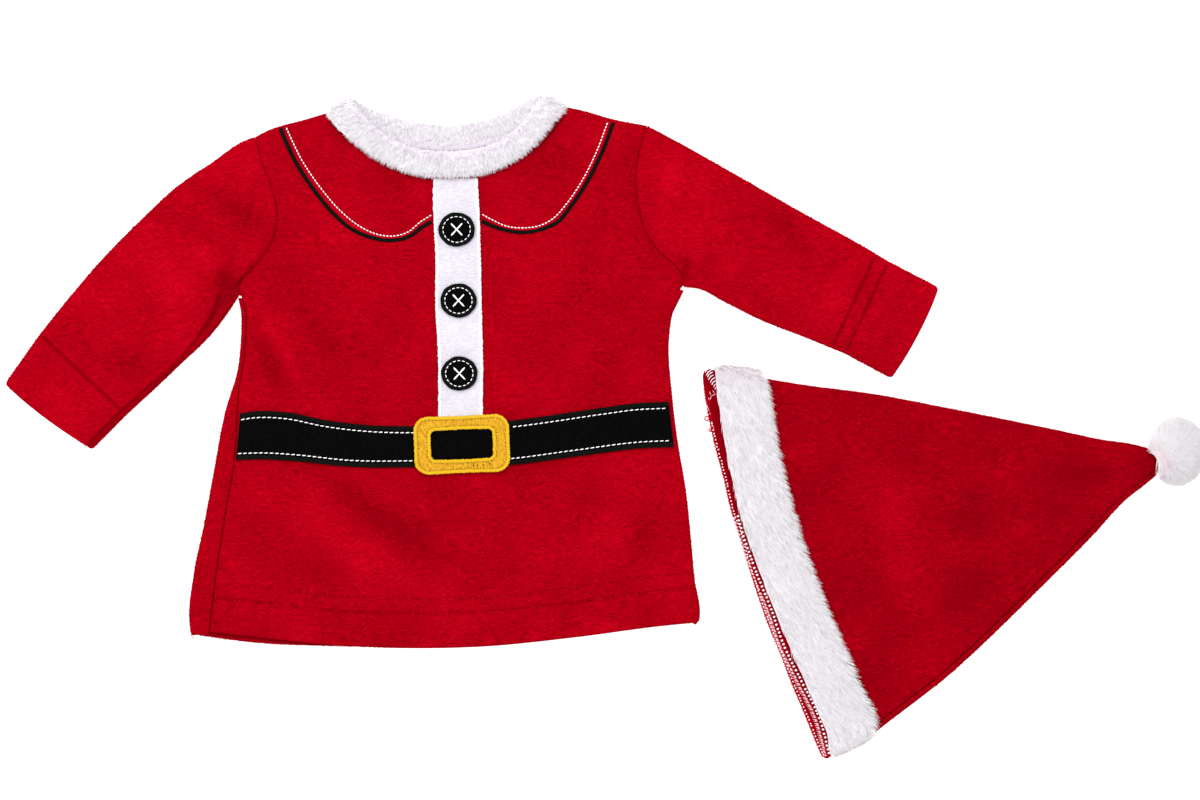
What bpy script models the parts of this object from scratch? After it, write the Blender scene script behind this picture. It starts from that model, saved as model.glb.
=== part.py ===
"""A baby's plush top and cone hat laid flat: red plush, white fur trims, felt belt, buckle and buttons."""

import bmesh
import bpy
import numpy as np
from mathutils import Vector
from mathutils.bvhtree import BVHTree

# Sizes and places are in millimetres, seen from above with the neck at +Y, and MM turns them into metres
MM = 0.001
PLUSH = 2.0  # thickness of the red cloth
GAP = 0.3  # between neighbouring pieces
FOLD = (PLUSH + GAP) / 2  # radius of a folded edge, at the middle of the cloth
EDGE = FOLD + PLUSH / 2  # from a fold's centre to the outside of the cloth
UNDER = PLUSH / 2  # middle of the layer that lies on the surface
OVER = UNDER + 2 * FOLD + 0.05  # middle of the layer that lies on that one
FOOT = 0.6  # height of the lower edge of a front that rolls over the side
WRAP_LEAST = 0.5  # least width of the strip where the back panel comes round the side

# Outline of the top, x and y: the back panel's folded side on the left, the front's rolled side on the right
LEFT_FOLD = (
    (-232.4, -115.9),
    (-230.7, -82.3),
    (-225.1, -55.4),
    (-220.1, -28.6),
    (-212.2, 11.8),
    (-206.1, 31.9),
    (-204.4, 45.4),
    (-203.8, 73.9),
)
RIGHT_ROLL = (
    (53.1, -108.4),
    (50.4, -85.7),
    (48.2, -62.2),
    (45.4, -35.3),
    (40.9, -8.4),
    (37.6, 18.5),
    (35.8, 48.7),
    (38.1, 65.5),
    (41.5, 76.5),
)
# Seams of the top, x and y, each from its lower end up
LEFT_SEAM = ((-221.5, -114.2), (-218.0, -84.0), (-213.0, -51.0), (-207.5, -17.9), (-205.0, 23.0), (-202.7, 66.0))
LEFT_ARMHOLE = (
    (-203.8, 73.9),
    (-205.2, 79.0),
    (-200.2, 86.2),
    (-191.5, 96.3),
    (-185.4, 107.5),
    (-183.7, 119.3),
    (-186.5, 133.3),
    (-191.5, 146.2),
    (-196.0, 163.0),
)
RIGHT_ARMHOLE = (
    (43.4, 80.0),
    (43.5, 85.1),
    (38.5, 92.4),
    (29.7, 99.9),
    (22.2, 112.6),
    (19.0, 124.9),
    (17.4, 140.0),
    (19.0, 152.3),
    (23.5, 169.3),
)
# Lines across the top, x and y, from left to right
FRONT_HEM = (
    (-221.5, -114.2),
    (-198.0, -116.9),
    (-148.0, -121.9),
    (-108.0, -123.4),
    (-67.4, -122.4),
    (-17.4, -117.4),
    (32.5, -110.9),
    (53.1, -108.9),
)
BACK_HEM = (
    (-232.4, -115.6),
    (-198.2, -120.2),
    (-148.0, -122.4),
    (-108.0, -123.1),
    (-67.4, -122.1),
    (-17.4, -117.1),
    (32.5, -110.6),
    (53.1, -108.6),
)
HEM_STITCH = (
    (-229.0, -86.8),
    (-193.0, -89.4),
    (-150.0, -94.2),
    (-108.1, -95.8),
    (-57.4, -94.4),
    (-22.4, -90.4),
    (32.5, -82.9),
    (51.0, -81.2),
)
LEFT_SHOULDER = ((-196.0, 163.0), (-189.8, 166.3), (-167.4, 173.0), (-156.2, 176.4))
RIGHT_SHOULDER = ((-21.9, 180.0), (-11.2, 177.5), (4.5, 173.0), (23.5, 169.3))
FRONT_NECK = (
    (-156.2, 176.1),
    (-150.6, 167.7),
    (-136.8, 156.4),
    (-122.8, 147.1),
    (-102.0, 140.2),
    (-71.3, 141.1),
    (-49.8, 149.9),
    (-34.2, 161.5),
    (-21.9, 179.7),
)
BACK_NECK = (
    (-156.2, 176.1),
    (-150.0, 168.0),
    (-135.0, 158.2),
    (-119.0, 154.6),
    (-96.0, 152.5),
    (-76.0, 152.6),
    (-60.0, 155.4),
    (-40.0, 163.0),
    (-21.9, 179.7),
)

# Rows of the body panels: shares from the hem to its upper stitching, then heights on the left side
HEM_SHARES = (0.0, 0.35, 0.63, 0.70, 0.77, 0.93)
HEM_GROOVES = (0.70, 1.0)  # the two lines of stitching that hold the turned hem
SIDE_LEVELS = (-86.8, -84.9, -74.0, -61.0, -48.0, -34.0, -20.0, -6.0, 8.0, 22.0, 36.0, 50.0, 63.5)
ARMHOLE_LEVELS = tuple(y for x, y in LEFT_ARMHOLE)
UNDERARM = 64.5  # above this line the sides run straight to the armholes
SHARES_ACROSS = 27
BACK_SHARES = (0.0, 0.03, 0.10, 0.18, 0.27, 0.38, 0.50, 0.62, 0.72, 0.79, 0.88, 0.96, 1.0)  # columns of the back
PUFF = 2.6  # how far the plush front stands above the back at the middle
PUFF_SIDE = 15.0  # distance from the sides over which it rises
PUFF_NECK = 12.0  # and from the neck and shoulders
HEM_STEP = 0.6  # the hem is two layers of plush
HEM_DEPTH = 27.5  # from the hem up to the upper line of stitching
HEM_SIDE = 6.0  # distance from the sides over which the hem reaches that step
GROOVE = 0.5  # depth of a stitched line
GROOVE_WIDTH = 1.2

# Soft folds: centre x and y, half length, half width, height (below zero for a trough), direction in degrees
BODY_FOLDS = (
    (-183.1, 49.3, 26.0, 6.5, 2.0, -60.6),
    (-186.0, 35.3, 17.0, 5.5, -1.5, -62.6),
    (-157.4, 49.3, 20.0, 6.0, -1.6, -53.0),
    (-129.4, -47.6, 46.0, 8.0, -2.0, -36.3),
    (-141.7, -69.0, 45.0, 12.0, 1.4, -35.0),
    (-16.8, -70.0, 28.0, 15.0, 1.2, 20.0),
    (19.6, -62.0, 17.0, 7.0, -1.0, 75.0),
    (4.0, 30.0, 24.0, 10.0, -1.0, 75.0),
)
LEFT_SLEEVE_FOLDS = (
    (-208.0, 124.0, 18.0, 6.5, -1.5, -29.0),
    (-240.8, 82.9, 22.0, 13.0, 1.1, -63.0),
    (-270.5, 36.0, 16.0, 8.0, -1.0, -5.0),
    (-212.0, 81.5, 9.0, 5.5, -2.0, -40.0),
)
RIGHT_SLEEVE_FOLDS = (
    (102.5, 110.9, 15.0, 8.0, -1.4, -49.0),
    (37.0, 140.0, 20.0, 6.0, 1.2, 80.0),
    (130.0, 78.0, 20.0, 8.0, 1.0, 60.0),
)
HAT_FOLDS = (
    (270.5, -25.8, 17.0, 5.5, -1.5, 5.0),
    (162.0, -52.0, 40.0, 14.0, 1.3, -80.0),
    (207.0, -51.5, 14.0, 9.0, -1.0, 20.0),
    (201.6, -96.0, 16.0, 9.0, -1.0, 35.0),
)

# Sleeves, x and y along each edge from the armhole to the seam of the turned cuff, then that cuff's ends
LEFT_SLEEVE_TOP = (
    (-196.3, 163.1),
    (-201.6, 161.3),
    (-220.1, 149.0),
    (-238.8, 136.3),
    (-260.4, 116.5),
    (-281.7, 94.9),
    (-300.2, 73.4),
    (-316.9, 52.6),
)
LEFT_SLEEVE_LOW = ((-204.9, 74.6), (-210.2, 66.3), (-220.2, 53.0), (-238.8, 34.9), (-253.1, 21.3), (-268.2, 7.4))
LEFT_CUFF_END = ((-336.8, 24.4), (-288.0, -12.6))
RIGHT_SLEEVE_TOP = (
    (23.8, 169.3),
    (34.7, 163.6),
    (75.9, 140.6),
    (109.8, 121.2),
    (147.3, 100.4),
    (158.9, 93.4),
)
RIGHT_SLEEVE_LOW = ((44.2, 79.1), (52.1, 78.1), (67.2, 70.6), (84.6, 61.8), (115.9, 49.3), (134.6, 41.6))
RIGHT_CUFF_END = ((187.6, 78.6), (160.9, 27.6))
SLEEVE_SHARES = (0.0, 0.04, 0.10, 0.18, 0.29, 0.42, 0.56, 0.70, 0.83, 0.92, 0.975, 1.0)  # down to that seam
CUFF_SHARES = (0.04, 0.25, 0.6, 0.88, 0.96, 1.0)  # along the cuff
CUFF_PIPE = 8.0  # between the two pinched lines of the right cuff
CUFF_CORNER = 4.0  # radius of a cuff's corners
SLEEVE_PUFF = 3.2
SLEEVE_RISE = 16.0  # distance from the armhole over which the sleeve rises to its full puff
CUFF_FLATTER = 0.35  # share of the puff that the doubled cuff lacks
CUFF_RISE = 8.0
ARMHOLE_FADE = 0.75  # share of the sleeve over which its rows lose the armhole's curve

# Hat, x and y: along each edge from the band to the tip, and the panel edges under the band
HAT_TOP = (
    (90.6, 27.6),
    (108.8, 24.6),
    (154.0, 18.5),
    (188.2, 12.0),
    (222.5, 5.2),
    (252.3, -0.9),
    (279.7, -6.7),
    (298.0, -9.6),
    (306.0, -12.4),
    (310.0, -16.6),
    (311.3, -20.4),
)
HAT_LOW = (
    (151.6, -170.4),
    (168.0, -157.9),
    (190.4, -140.6),
    (214.5, -118.7),
    (239.7, -94.1),
    (273.8, -59.9),
    (293.5, -38.9),
    (303.4, -31.2),
    (309.0, -26.2),
    (311.3, -21.8),
)
HAT_MOUTH = (
    (91.0, 25.5),
    (91.9, 17.9),
    (95.4, -9.5),
    (103.2, -43.5),
    (115.6, -80.6),
    (133.8, -124.3),
    (149.0, -157.0),
    (150.8, -168.6),
)
HAT_INSIDE_EDGE = (
    (54.9, 31.4),
    (54.9, 25.8),
    (58.8, 2.2),
    (66.4, -27.7),
    (75.0, -59.1),
    (85.7, -94.4),
    (98.6, -127.7),
    (111.4, -159.6),
    (121.8, -184.5),
)
HAT_ROWS = 12
HAT_STATIONS = (0, 0.02, 0.05, 0.09, 0.14, 0.21, 0.29, 0.37, 0.46, 0.55, 0.64, 0.73, 0.81, 0.88, 0.935, 0.965, 0.985, 1)
INSIDE_STATIONS = (0.0, 0.13, 0.4, 0.7, 0.9)  # through the fur band, from the mouth
INSIDE_NARROW = (4.0, 8.0)  # how much narrower the panel is there than the band, at its top and lower ends
HAT_PUFF = 3.0
HAT_RISE = 40.0  # distance from the band over which the front rises to its full puff
HAT_BEND = 0.8  # share of the hat over which its rows lose the mouth's curve, and its puff starts to fade
HAT_EDGE_LINE = 0.15  # how far the back's top edge lies inside the front's
HAT_SEAM = 3.2  # width of the back panel's strip along the lower edge
BAND_LIFT = 3.9  # how far the back half of the fur band lifts the panel inside it
BAND_SLOPE = (-5.0, 11.0)  # distances from the front half's inner edge over which the lift ends

# Fur trims as rings: centre x, y and height, half width, half thickness, direction of its width in degrees
NECK_RING = (
    (-88.0, 147.6, 6.2, 7.3, 3.5, -90.0),
    (-106.0, 149.4, 6.3, 7.1, 3.5, -105.0),
    (-123.7, 156.8, 6.9, 7.2, 3.4, -125.0),
    (-136.5, 166.2, 8.2, 7.2, 3.2, -136.0),
    (-144.0, 173.6, 8.6, 7.0, 3.0, -143.0),
    (-148.0, 177.3, 7.2, 6.9, 2.6, -141.0),
    (-149.2, 178.6, 5.6, 6.7, 2.5, -141.0),
    (-147.6, 177.4, 4.0, 6.4, 2.4, -137.0),
    (-142.6, 175.9, 2.8, 6.2, 2.5, -128.0),
    (-132.6, 171.0, 2.8, 6.2, 2.5, -114.0),
    (-118.6, 166.2, 3.0, 6.2, 2.8, -101.0),
    (-104.0, 163.0, 3.2, 6.3, 3.0, -93.0),
    (-85.0, 161.8, 3.3, 6.3, 3.1, -90.0),
    (-68.0, 164.3, 3.2, 6.2, 3.0, -82.0),
    (-54.0, 168.6, 3.0, 6.2, 2.8, -70.0),
    (-41.6, 175.6, 2.8, 6.2, 2.5, -58.0),
    (-32.6, 180.0, 2.8, 6.0, 2.5, -48.0),
    (-28.9, 180.4, 4.0, 5.9, 2.4, -36.0),
    (-27.6, 180.9, 5.6, 6.0, 2.5, -31.0),
    (-28.9, 179.6, 7.2, 6.3, 2.6, -32.0),
    (-32.6, 176.6, 8.6, 6.8, 3.0, -34.0),
    (-38.2, 170.0, 8.2, 7.0, 3.2, -40.0),
    (-48.4, 159.8, 7.0, 7.0, 3.4, -54.0),
    (-60.0, 152.9, 6.4, 7.0, 3.5, -66.0),
    (-72.4, 148.6, 6.2, 7.2, 3.5, -80.0),
)
NECK_STATIONS = 56
BAND_RING = (
    (80.8, -10.0, 8.9, 13.9, 2.6, 9.8),
    (77.6, 10.0, 8.9, 14.0, 2.6, 4.0),
    (75.9, 22.0, 8.9, 14.2, 2.6, 0.0),
    (74.6, 29.4, 8.8, 13.6, 2.5, -3.0),
    (74.0, 32.0, 7.9, 13.0, 2.4, -4.0),
    (73.4, 33.1, 5.4, 12.4, 2.2, -5.0),
    (72.6, 32.0, 2.9, 12.6, 2.0, -4.0),
    (72.0, 29.4, 1.9, 13.0, 1.85, -2.0),
    (71.4, 20.0, 1.75, 13.2, 1.75, 2.0),
    (74.8, -10.0, 1.75, 13.2, 1.75, 9.8),
    (84.8, -53.0, 1.75, 13.0, 1.75, 16.0),
    (103.5, -104.2, 1.75, 12.8, 1.75, 20.5),
    (127.5, -158.0, 1.75, 12.6, 1.75, 22.0),
    (133.6, -169.6, 1.75, 12.6, 1.75, 24.0),
    (136.3, -175.0, 1.9, 12.2, 1.85, 26.0),
    (137.4, -177.2, 2.9, 11.6, 2.0, 27.0),
    (137.9, -178.2, 5.4, 10.8, 2.2, 27.0),
    (137.4, -177.2, 7.9, 12.0, 2.4, 27.0),
    (137.0, -174.4, 8.8, 13.4, 2.6, 26.0),
    (136.4, -166.0, 8.9, 13.9, 2.6, 24.0),
    (131.4, -155.0, 8.9, 13.4, 2.6, 22.5),
    (121.1, -131.0, 8.9, 13.5, 2.6, 22.0),
    (109.5, -104.2, 8.9, 13.4, 2.6, 20.5),
    (99.6, -78.4, 8.9, 13.6, 2.6, 18.0),
    (91.0, -53.0, 8.9, 13.9, 2.6, 16.0),
    (85.5, -32.0, 8.9, 13.9, 2.6, 14.0),
)
BAND_STATIONS = 60
ROLL_SECTION = 10  # points round a trim's section
ROLL_POWERS = (0.75, 0.6)  # powers of its cosine and sine: 1 is an ellipse, and less is fuller

POMPOM_CENTRE = (318.9, -12.9, 13.4)
POMPOM_REACH = (16.4, 19.5, 13.0)  # to the ends of the locks, along x, y and z
POMPOM_CORE = (320.8, -12.2, 11.4)
POMPOM_CORE_RADII = (8.8, 11.2, 9.2)
HAT_TIP = (301.9, -20.8)
HAT_TIP_CLEAR = 9.75  # radius round the centre of the hat's round tip that no lock beside it reaches into
HAT_TIP_OVER = 3.0  # how far the locks just above the tip reach over its rim
HAT_TIP_HIGH = 4.7
HAT_TIP_TOP = -9.2  # above this line the hat is out of the locks' way
LOCK_STEPS = 181  # lengths tried for a lock, longest first
POMPOM_POINTS = 126  # roots on the core: twice as many locks stand between them
LOCK_LENGTHS = (0.88, 1.0)  # shares of the full reach
LOCK_LEAN = 0.09

# Pieces that lie on the front panel, x and y
PLACKET_LEFT = ((-93.1, 2.6), (-93.6, 48.7), (-94.5, 61.0), (-94.8, 98.6), (-95.9, 119.8), (-96.0, 138.4))
PLACKET_RIGHT = ((-68.5, 3.8), (-68.5, 48.7), (-68.9, 61.0), (-69.4, 87.9), (-70.3, 119.8), (-71.4, 138.8))
PLACKET_ROWS = 22
PLACKET_THICK = 1.2
BUTTONS = ((-82.9, 111.0), (-81.9, 71.3), (-81.4, 30.5))
BUTTON_RADII = (10.0, 9.4)
BUTTON_THICK = 1.3
BUTTON_STEPS = 7
BELT_TOP = (
    (-204.2, 8.0),
    (-196.2, 9.2),
    (-178.1, 8.7),
    (-157.6, 4.6),
    (-131.0, 1.5),
    (-107.0, 0.9),
    (-53.8, 4.0),
    (-0.6, 11.4),
    (16.6, 13.7),
    (35.6, 14.6),
)
BELT_LOW = (
    (-206.6, -17.8),
    (-189.8, -17.4),
    (-173.7, -18.4),
    (-141.7, -21.6),
    (-106.4, -21.8),
    (-53.2, -20.6),
    (-17.6, -16.0),
    (22.4, -11.1),
    (38.6, -10.5),
)
BELT_COLUMNS = 30
BELT_THICK = 1.4
BUCKLE_CENTRE = (-80.0, -9.3)
BUCKLE_SIZE = (53.5, 31.7, 6.5)  # width, height and corner radius
BUCKLE_HOLE = (34.3, 16.2, 2.5)
BUCKLE_TILT = 2.3  # degrees
BUCKLE_THICK = 1.6
LEFT_BRAID = (
    (-182.0, 168.0),
    (-173.2, 149.0),
    (-162.5, 132.7),
    (-151.8, 119.8),
    (-141.1, 110.9),
    (-130.5, 106.5),
    (-117.6, 105.1),
    (-109.0, 107.5),
    (-101.5, 113.0),
    (-97.2, 115.4),
)
RIGHT_BRAID = (
    (4.7, 171.0),
    (-1.2, 155.2),
    (-9.8, 138.1),
    (-18.5, 124.9),
    (-26.9, 115.1),
    (-36.6, 110.9),
    (-46.3, 109.5),
    (-56.0, 110.9),
    (-63.4, 113.2),
    (-69.0, 115.8),
)
BRAID_WIDTH = 2.2
BRAID_THICK = 1.2
BRAID_STATIONS = 22


def clear_scene():
    for old in list(bpy.data.objects):
        bpy.data.objects.remove(old)


def finish(name, red, green, blue, roughness):
    """A Principled material of this linear colour."""
    material = bpy.data.materials.new(name)
    material.use_nodes = True
    shader = material.node_tree.nodes["Principled BSDF"]
    shader.inputs["Base Color"].default_value = (red, green, blue, 1)
    shader.inputs["Roughness"].default_value = roughness
    return material


def along(rows, shares, closed=False):
    """The smooth curve through the rows, read at these shares of its length. Between two rows it is a cubic,
    with the slopes that the rows on either side give."""
    points = np.array(rows, float)
    if closed:
        points = np.vstack([points[-2:], points, points[:3]])
    steps = np.linalg.norm(np.diff(points[:, :3], axis=0), axis=1)
    reached = np.concatenate([[0], np.cumsum(steps)])
    slopes = np.gradient(points, reached, axis=0)
    first, last = (reached[2], reached[-3]) if closed else (0, reached[-1])
    where = first + np.asarray(shares) * (last - first)
    low = np.clip(np.searchsorted(reached, where, side="right") - 1, 0, len(points) - 2)
    step = (reached[low + 1] - reached[low])[:, None]
    t = (where - reached[low])[:, None] / step
    return (
        (2 * t**3 - 3 * t**2 + 1) * points[low]
        + (t**3 - 2 * t**2 + t) * step * slopes[low]
        + (3 * t**2 - 2 * t**3) * points[low + 1]
        + (t**3 - t**2) * step * slopes[low + 1]
    )


def joined(*tables):
    """The smooth curves through these tables as one fine line, end to end."""
    return np.vstack([along(table, np.linspace(0, 1, 120)) for table in tables])


def read(line, at, by):
    """The line's other coordinate where coordinate `by` has these values."""
    order = np.argsort(line[:, by], kind="stable")
    return np.interp(at, line[order, by], line[order, 1 - by])


def leaning(line):
    """The unit normal to the right of a line's direction, at each of its points."""
    way = np.gradient(line, axis=0)
    way /= np.linalg.norm(way, axis=1, keepdims=True)
    return np.stack([way[:, 1], -way[:, 0]], axis=1)


def rounded(distance, reach):
    """0 at an edge, rising like a quarter wave to 1 at `reach` from it."""
    return np.sin(np.pi / 2 * np.clip(distance / reach, 0, 1))


def eased(value):
    """0 to 1, level at both ends."""
    t = np.clip(value, 0, 1)
    return t * t * (3 - 2 * t)


def folds(x, y, table):
    """The height that the table's soft ridges and troughs add at these places."""
    height = np.zeros_like(x)
    for centre_x, centre_y, length, width, rise, degrees in table:
        turn = np.radians(degrees)
        run = (x - centre_x) * np.cos(turn) + (y - centre_y) * np.sin(turn)
        side = (y - centre_y) * np.cos(turn) - (x - centre_x) * np.sin(turn)
        height += rise * np.exp(-((run / length) ** 2) - (side / width) ** 2)
    return height


def groove(distance):
    """A stitched line: a narrow dip at distance 0."""
    return -GROOVE * np.exp(-((distance / GROOVE_WIDTH) ** 2))


def add_object(name, mesh, material):
    obj = bpy.data.objects.new(name, mesh)
    bpy.context.scene.collection.objects.link(obj)
    mesh.materials.append(material)
    mesh.shade_smooth()
    mesh.set_sharp_from_angle(angle=np.radians(50))
    return obj


def cloth(name, points, normals, material, thickness, present=None, closed=False):
    """A cloth piece: a wall of this thickness, half on each side of a grid's points along their normals, closed
    by a rim round its edges. `present` says which quads there are, and `closed` joins the last column to the
    first."""
    rows, columns = points.shape[:2]
    index = np.arange(rows * columns).reshape(rows, columns)
    if closed:
        index = np.hstack([index, index[:, :1]])
    quads = np.stack([index[:-1, :-1], index[:-1, 1:], index[1:, 1:], index[1:, :-1]], axis=-1)
    if present is not None:
        quads = quads[present]
    used, quads = np.unique(quads.reshape(-1), return_inverse=True)
    quads = quads.reshape(-1, 4)
    middle, half = points.reshape(-1, 3)[used], normals.reshape(-1, 3)[used] * thickness / 2
    count = len(used)
    starts, ends = quads.reshape(-1), np.roll(quads, -1, axis=1).reshape(-1)
    open_edge = ~np.isin(starts * count + ends, ends * count + starts)
    starts, ends = starts[open_edge], ends[open_edge]
    rim = np.stack([ends, starts, starts + count, ends + count], axis=1)
    faces = np.vstack([quads, quads[:, ::-1] + count, rim])
    return closed_mesh(name, np.vstack([middle + half, middle - half]), faces, material)


def closed_mesh(name, points, faces, material):
    """A closed body of these points, in millimetres, with its faces turned outwards."""
    mesh = bpy.data.meshes.new(name)
    mesh.from_pydata((points * MM).tolist(), [], faces.tolist())
    shape = bmesh.new()
    shape.from_mesh(mesh)
    bmesh.ops.recalc_face_normals(shape, faces=shape.faces)
    shape.to_mesh(mesh)
    shape.free()
    return add_object(name, mesh, material)


def upright(grid):
    """A normal straight up at each of a grid's points."""
    return np.zeros_like(grid) + (0.0, 0.0, 1.0)


def fur_ring(name, table, stations, material):
    """A fur trim that runs round an opening: a rounded flat section carried round the table's closed path."""
    path = along(table, np.arange(stations) / stations, closed=True)
    centre, half_width, half_thick = path[:, :3], path[:, 3:4], path[:, 4:5]
    turn = np.radians(path[:, 5])
    side = np.stack([np.cos(turn), np.sin(turn), np.zeros(stations)], axis=1)
    way = np.roll(centre, -1, axis=0) - np.roll(centre, 1, axis=0)
    up = np.cross(side, way)
    up /= np.linalg.norm(up, axis=1, keepdims=True)
    angles = 2 * np.pi * np.arange(ROLL_SECTION) / ROLL_SECTION
    wide = np.sign(np.cos(angles)) * np.abs(np.cos(angles)) ** ROLL_POWERS[0]
    thick = np.sign(np.sin(angles)) * np.abs(np.sin(angles)) ** ROLL_POWERS[1]
    points = (
        centre[:, None]
        + (half_width * wide)[:, :, None] * side[:, None]
        + (half_thick * thick)[:, :, None] * up[:, None]
    )
    # What would sink below the surface lies flat on it
    points[:, :, 2] = np.maximum(points[:, :, 2], 0)
    index = np.arange(stations * ROLL_SECTION).reshape(-1, ROLL_SECTION)
    ahead, beside = np.roll(index, -1, axis=0), np.roll(index, -1, axis=1)
    quads = np.stack([index, beside, np.roll(ahead, -1, axis=1), ahead], axis=-1)
    return closed_mesh(name, points.reshape(-1, 3), quads.reshape(-1, 4), material)


def body_rows(hem, top, left, right, shares, hem_shares):
    """Plan grid of a body panel. A point is a share of the way from the left line to the right one, and on a row
    between the hem and its stitching, or between that stitching and the top line."""
    stitch = joined(HEM_STITCH)
    lowest, highest = SIDE_LEVELS[0], LEFT_ARMHOLE[-1][1]
    levels = np.array(SIDE_LEVELS + ARMHOLE_LEVELS)
    above = (levels - lowest) / (highest - lowest)
    turned = np.array(hem_shares)[:, None]
    count = len(hem_shares)
    x = np.zeros((count + len(above), len(shares)))
    y = np.linspace(-120, 165, len(x))[:, None] + x
    for _ in range(40):
        x = read(left, y, 1) + shares * (read(right, y, 1) - read(left, y, 1))
        hem_y, stitch_y, top_y = read(hem, x, 0), read(stitch, x, 0), read(top, x, 0)
        low = hem_y[:count] + turned * (stitch_y - hem_y)[:count]
        high = stitch_y[count:] + above[:, None] * (top_y - stitch_y)[count:]
        y = np.vstack([low, high])
    return x, y


def edge_shares(count, reach):
    """Shares across a panel, closer together within `reach` of either side."""
    near = reach * np.array([0, 0.15, 0.4])
    middle = np.linspace(reach, 1 - reach, count - 6)
    return np.concatenate([near, middle, 1 - near[::-1]])


def fold_round(centre, out, start, end, steps):
    """Points round a folded edge, and their normals: `centre` is the fold's plan line, `out` its unit normals
    away from the panel, and the angles run from 0, below the centre, to 180 degrees, above it."""
    angles = np.radians(np.linspace(start, end, steps))
    sideways = np.sin(angles)[None, :, None] * out[:, None]
    upwards = np.broadcast_to(-np.cos(angles), sideways.shape[:2])
    normals = np.dstack([sideways, upwards])
    points = np.dstack([centre[:, None] + FOLD * sideways, UNDER + FOLD + FOLD * upwards])
    return points, normals


def stacked(x, y, z):
    return np.dstack([x, y, z + np.zeros_like(x)])


def body_sides():
    """The lines that the two body panels run between: the back's fold, the front's seam beside it, and the right
    side, where the front rolls over. Above the underarm all of them are the armholes."""
    fold = along(LEFT_FOLD, np.linspace(0, 1, 120))
    seam = along(LEFT_SEAM, np.linspace(0, 1, 120))
    roll = along(RIGHT_ROLL, np.linspace(0, 1, 120))
    fold_out, roll_out = -leaning(fold), leaning(roll)
    fold_centre, roll_centre = fold - EDGE * fold_out, roll - EDGE * roll_out
    clear = read(fold_centre, seam[:, 1], 1) + WRAP_LEAST + GAP
    seam[:, 0] = np.maximum(seam[:, 0], clear)
    below_left, below_right = fold_centre[:, 1] < UNDERARM, roll_centre[:, 1] < UNDERARM
    left_armhole, right_armhole = joined(LEFT_ARMHOLE), joined(RIGHT_ARMHOLE)
    return {
        "fold": np.vstack([fold_centre[below_left], left_armhole]),
        "fold_out": (fold, fold_out),
        "seam": np.vstack([seam, left_armhole]),
        "roll": np.vstack([roll_centre[below_right], right_armhole]),
        "roll_out": (roll, roll_out),
    }


def normals_at(line_and_normals, y):
    """The unit normals of a side line at these heights."""
    line, normals = line_and_normals
    found = np.stack([np.interp(y, line[:, 1], normals[:, axis]) for axis in (0, 1)], axis=1)
    return found / np.linalg.norm(found, axis=1, keepdims=True)


def front_height(x, y, row_share, top_y):
    """Height of the middle of the front panel: low at its edges, full inside, with the hem's two layers, the
    stitched grooves and the folds."""
    across = np.minimum(x - x[:, :1], x[:, -1:] - x)
    inside = rounded(across, PUFF_SIDE) * rounded(top_y - y, PUFF_NECK)
    above_hem = eased(row_share - 1)
    hem = HEM_STEP * (1 - eased((row_share - 1) * HEM_DEPTH / GROOVE_WIDTH / 3)) * rounded(across, HEM_SIDE)
    lines = sum(groove((row_share - at) * HEM_DEPTH) for at in HEM_GROOVES) * rounded(across, HEM_SIDE)
    soft = folds(x, y, BODY_FOLDS) * inside * (0.3 + 0.7 * above_hem)
    return OVER + np.maximum(PUFF * inside * above_hem + soft, 0) + hem + lines


def front_panel(plush):
    sides = body_sides()
    hem, top = joined(FRONT_HEM), joined(LEFT_SHOULDER, FRONT_NECK, RIGHT_SHOULDER)
    shares = edge_shares(SHARES_ACROSS, 0.06)
    x, y = body_rows(hem, top, sides["seam"], sides["roll"], shares, HEM_SHARES)
    stitch = joined(HEM_STITCH)
    hem_y, stitch_y, top_y = read(hem, x, 0), read(stitch, x, 0), read(top, x, 0)
    row_share = (y - hem_y) / (stitch_y - hem_y)
    main = stacked(x, y, front_height(x, y, row_share, top_y))
    # The right side rolls over and down to the surface, outside the back panel's edge
    out = normals_at(sides["roll_out"], y[:, -1])
    roll, roll_normals = fold_round(main[:, -1, :2], out, 150, 90, 3)
    foot = roll[:, -1:].copy()
    foot[:, :, 2] = FOOT
    points = np.concatenate([main, roll, foot], axis=1)
    normals = np.concatenate([upright(main), roll_normals, roll_normals[:, -1:]], axis=1)
    present = np.ones((points.shape[0] - 1, points.shape[1] - 1), bool)
    present[-len(ARMHOLE_LEVELS) :, main.shape[1] - 1 :] = False
    return cloth("front_panel", points, normals, plush, PLUSH, present)


def back_panel(plush):
    """The back lies flat on the surface. On the left it folds over, and its strip meets the front's seam."""
    sides = body_sides()
    hem, top = joined(BACK_HEM), joined(LEFT_SHOULDER, BACK_NECK, RIGHT_SHOULDER)
    shares = np.array(BACK_SHARES)
    x, y = body_rows(hem, top, sides["fold"], sides["roll"], shares, HEM_SHARES[:1])
    below = len(x) - len(ARMHOLE_LEVELS)
    x[:below] -= GAP / 2 * shares
    main = stacked(x, y, UNDER)
    out = normals_at(sides["fold_out"], y[:, 0])
    wrap, wrap_normals = fold_round(main[:, 0, :2], out, 180, 30, 6)
    strip = wrap[:, :1].copy()
    strip[:, 0, 0] = read(sides["seam"], y[:, 0], 1) - GAP
    points = np.concatenate([strip, wrap, main], axis=1)
    normals = np.concatenate([upright(strip), wrap_normals, -upright(main)], axis=1)
    present = np.ones((points.shape[0] - 1, points.shape[1] - 1), bool)
    present[below - 1 :, : strip.shape[1] + wrap.shape[1]] = False
    return cloth("back_panel", points, normals, plush, PLUSH, present)


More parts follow.
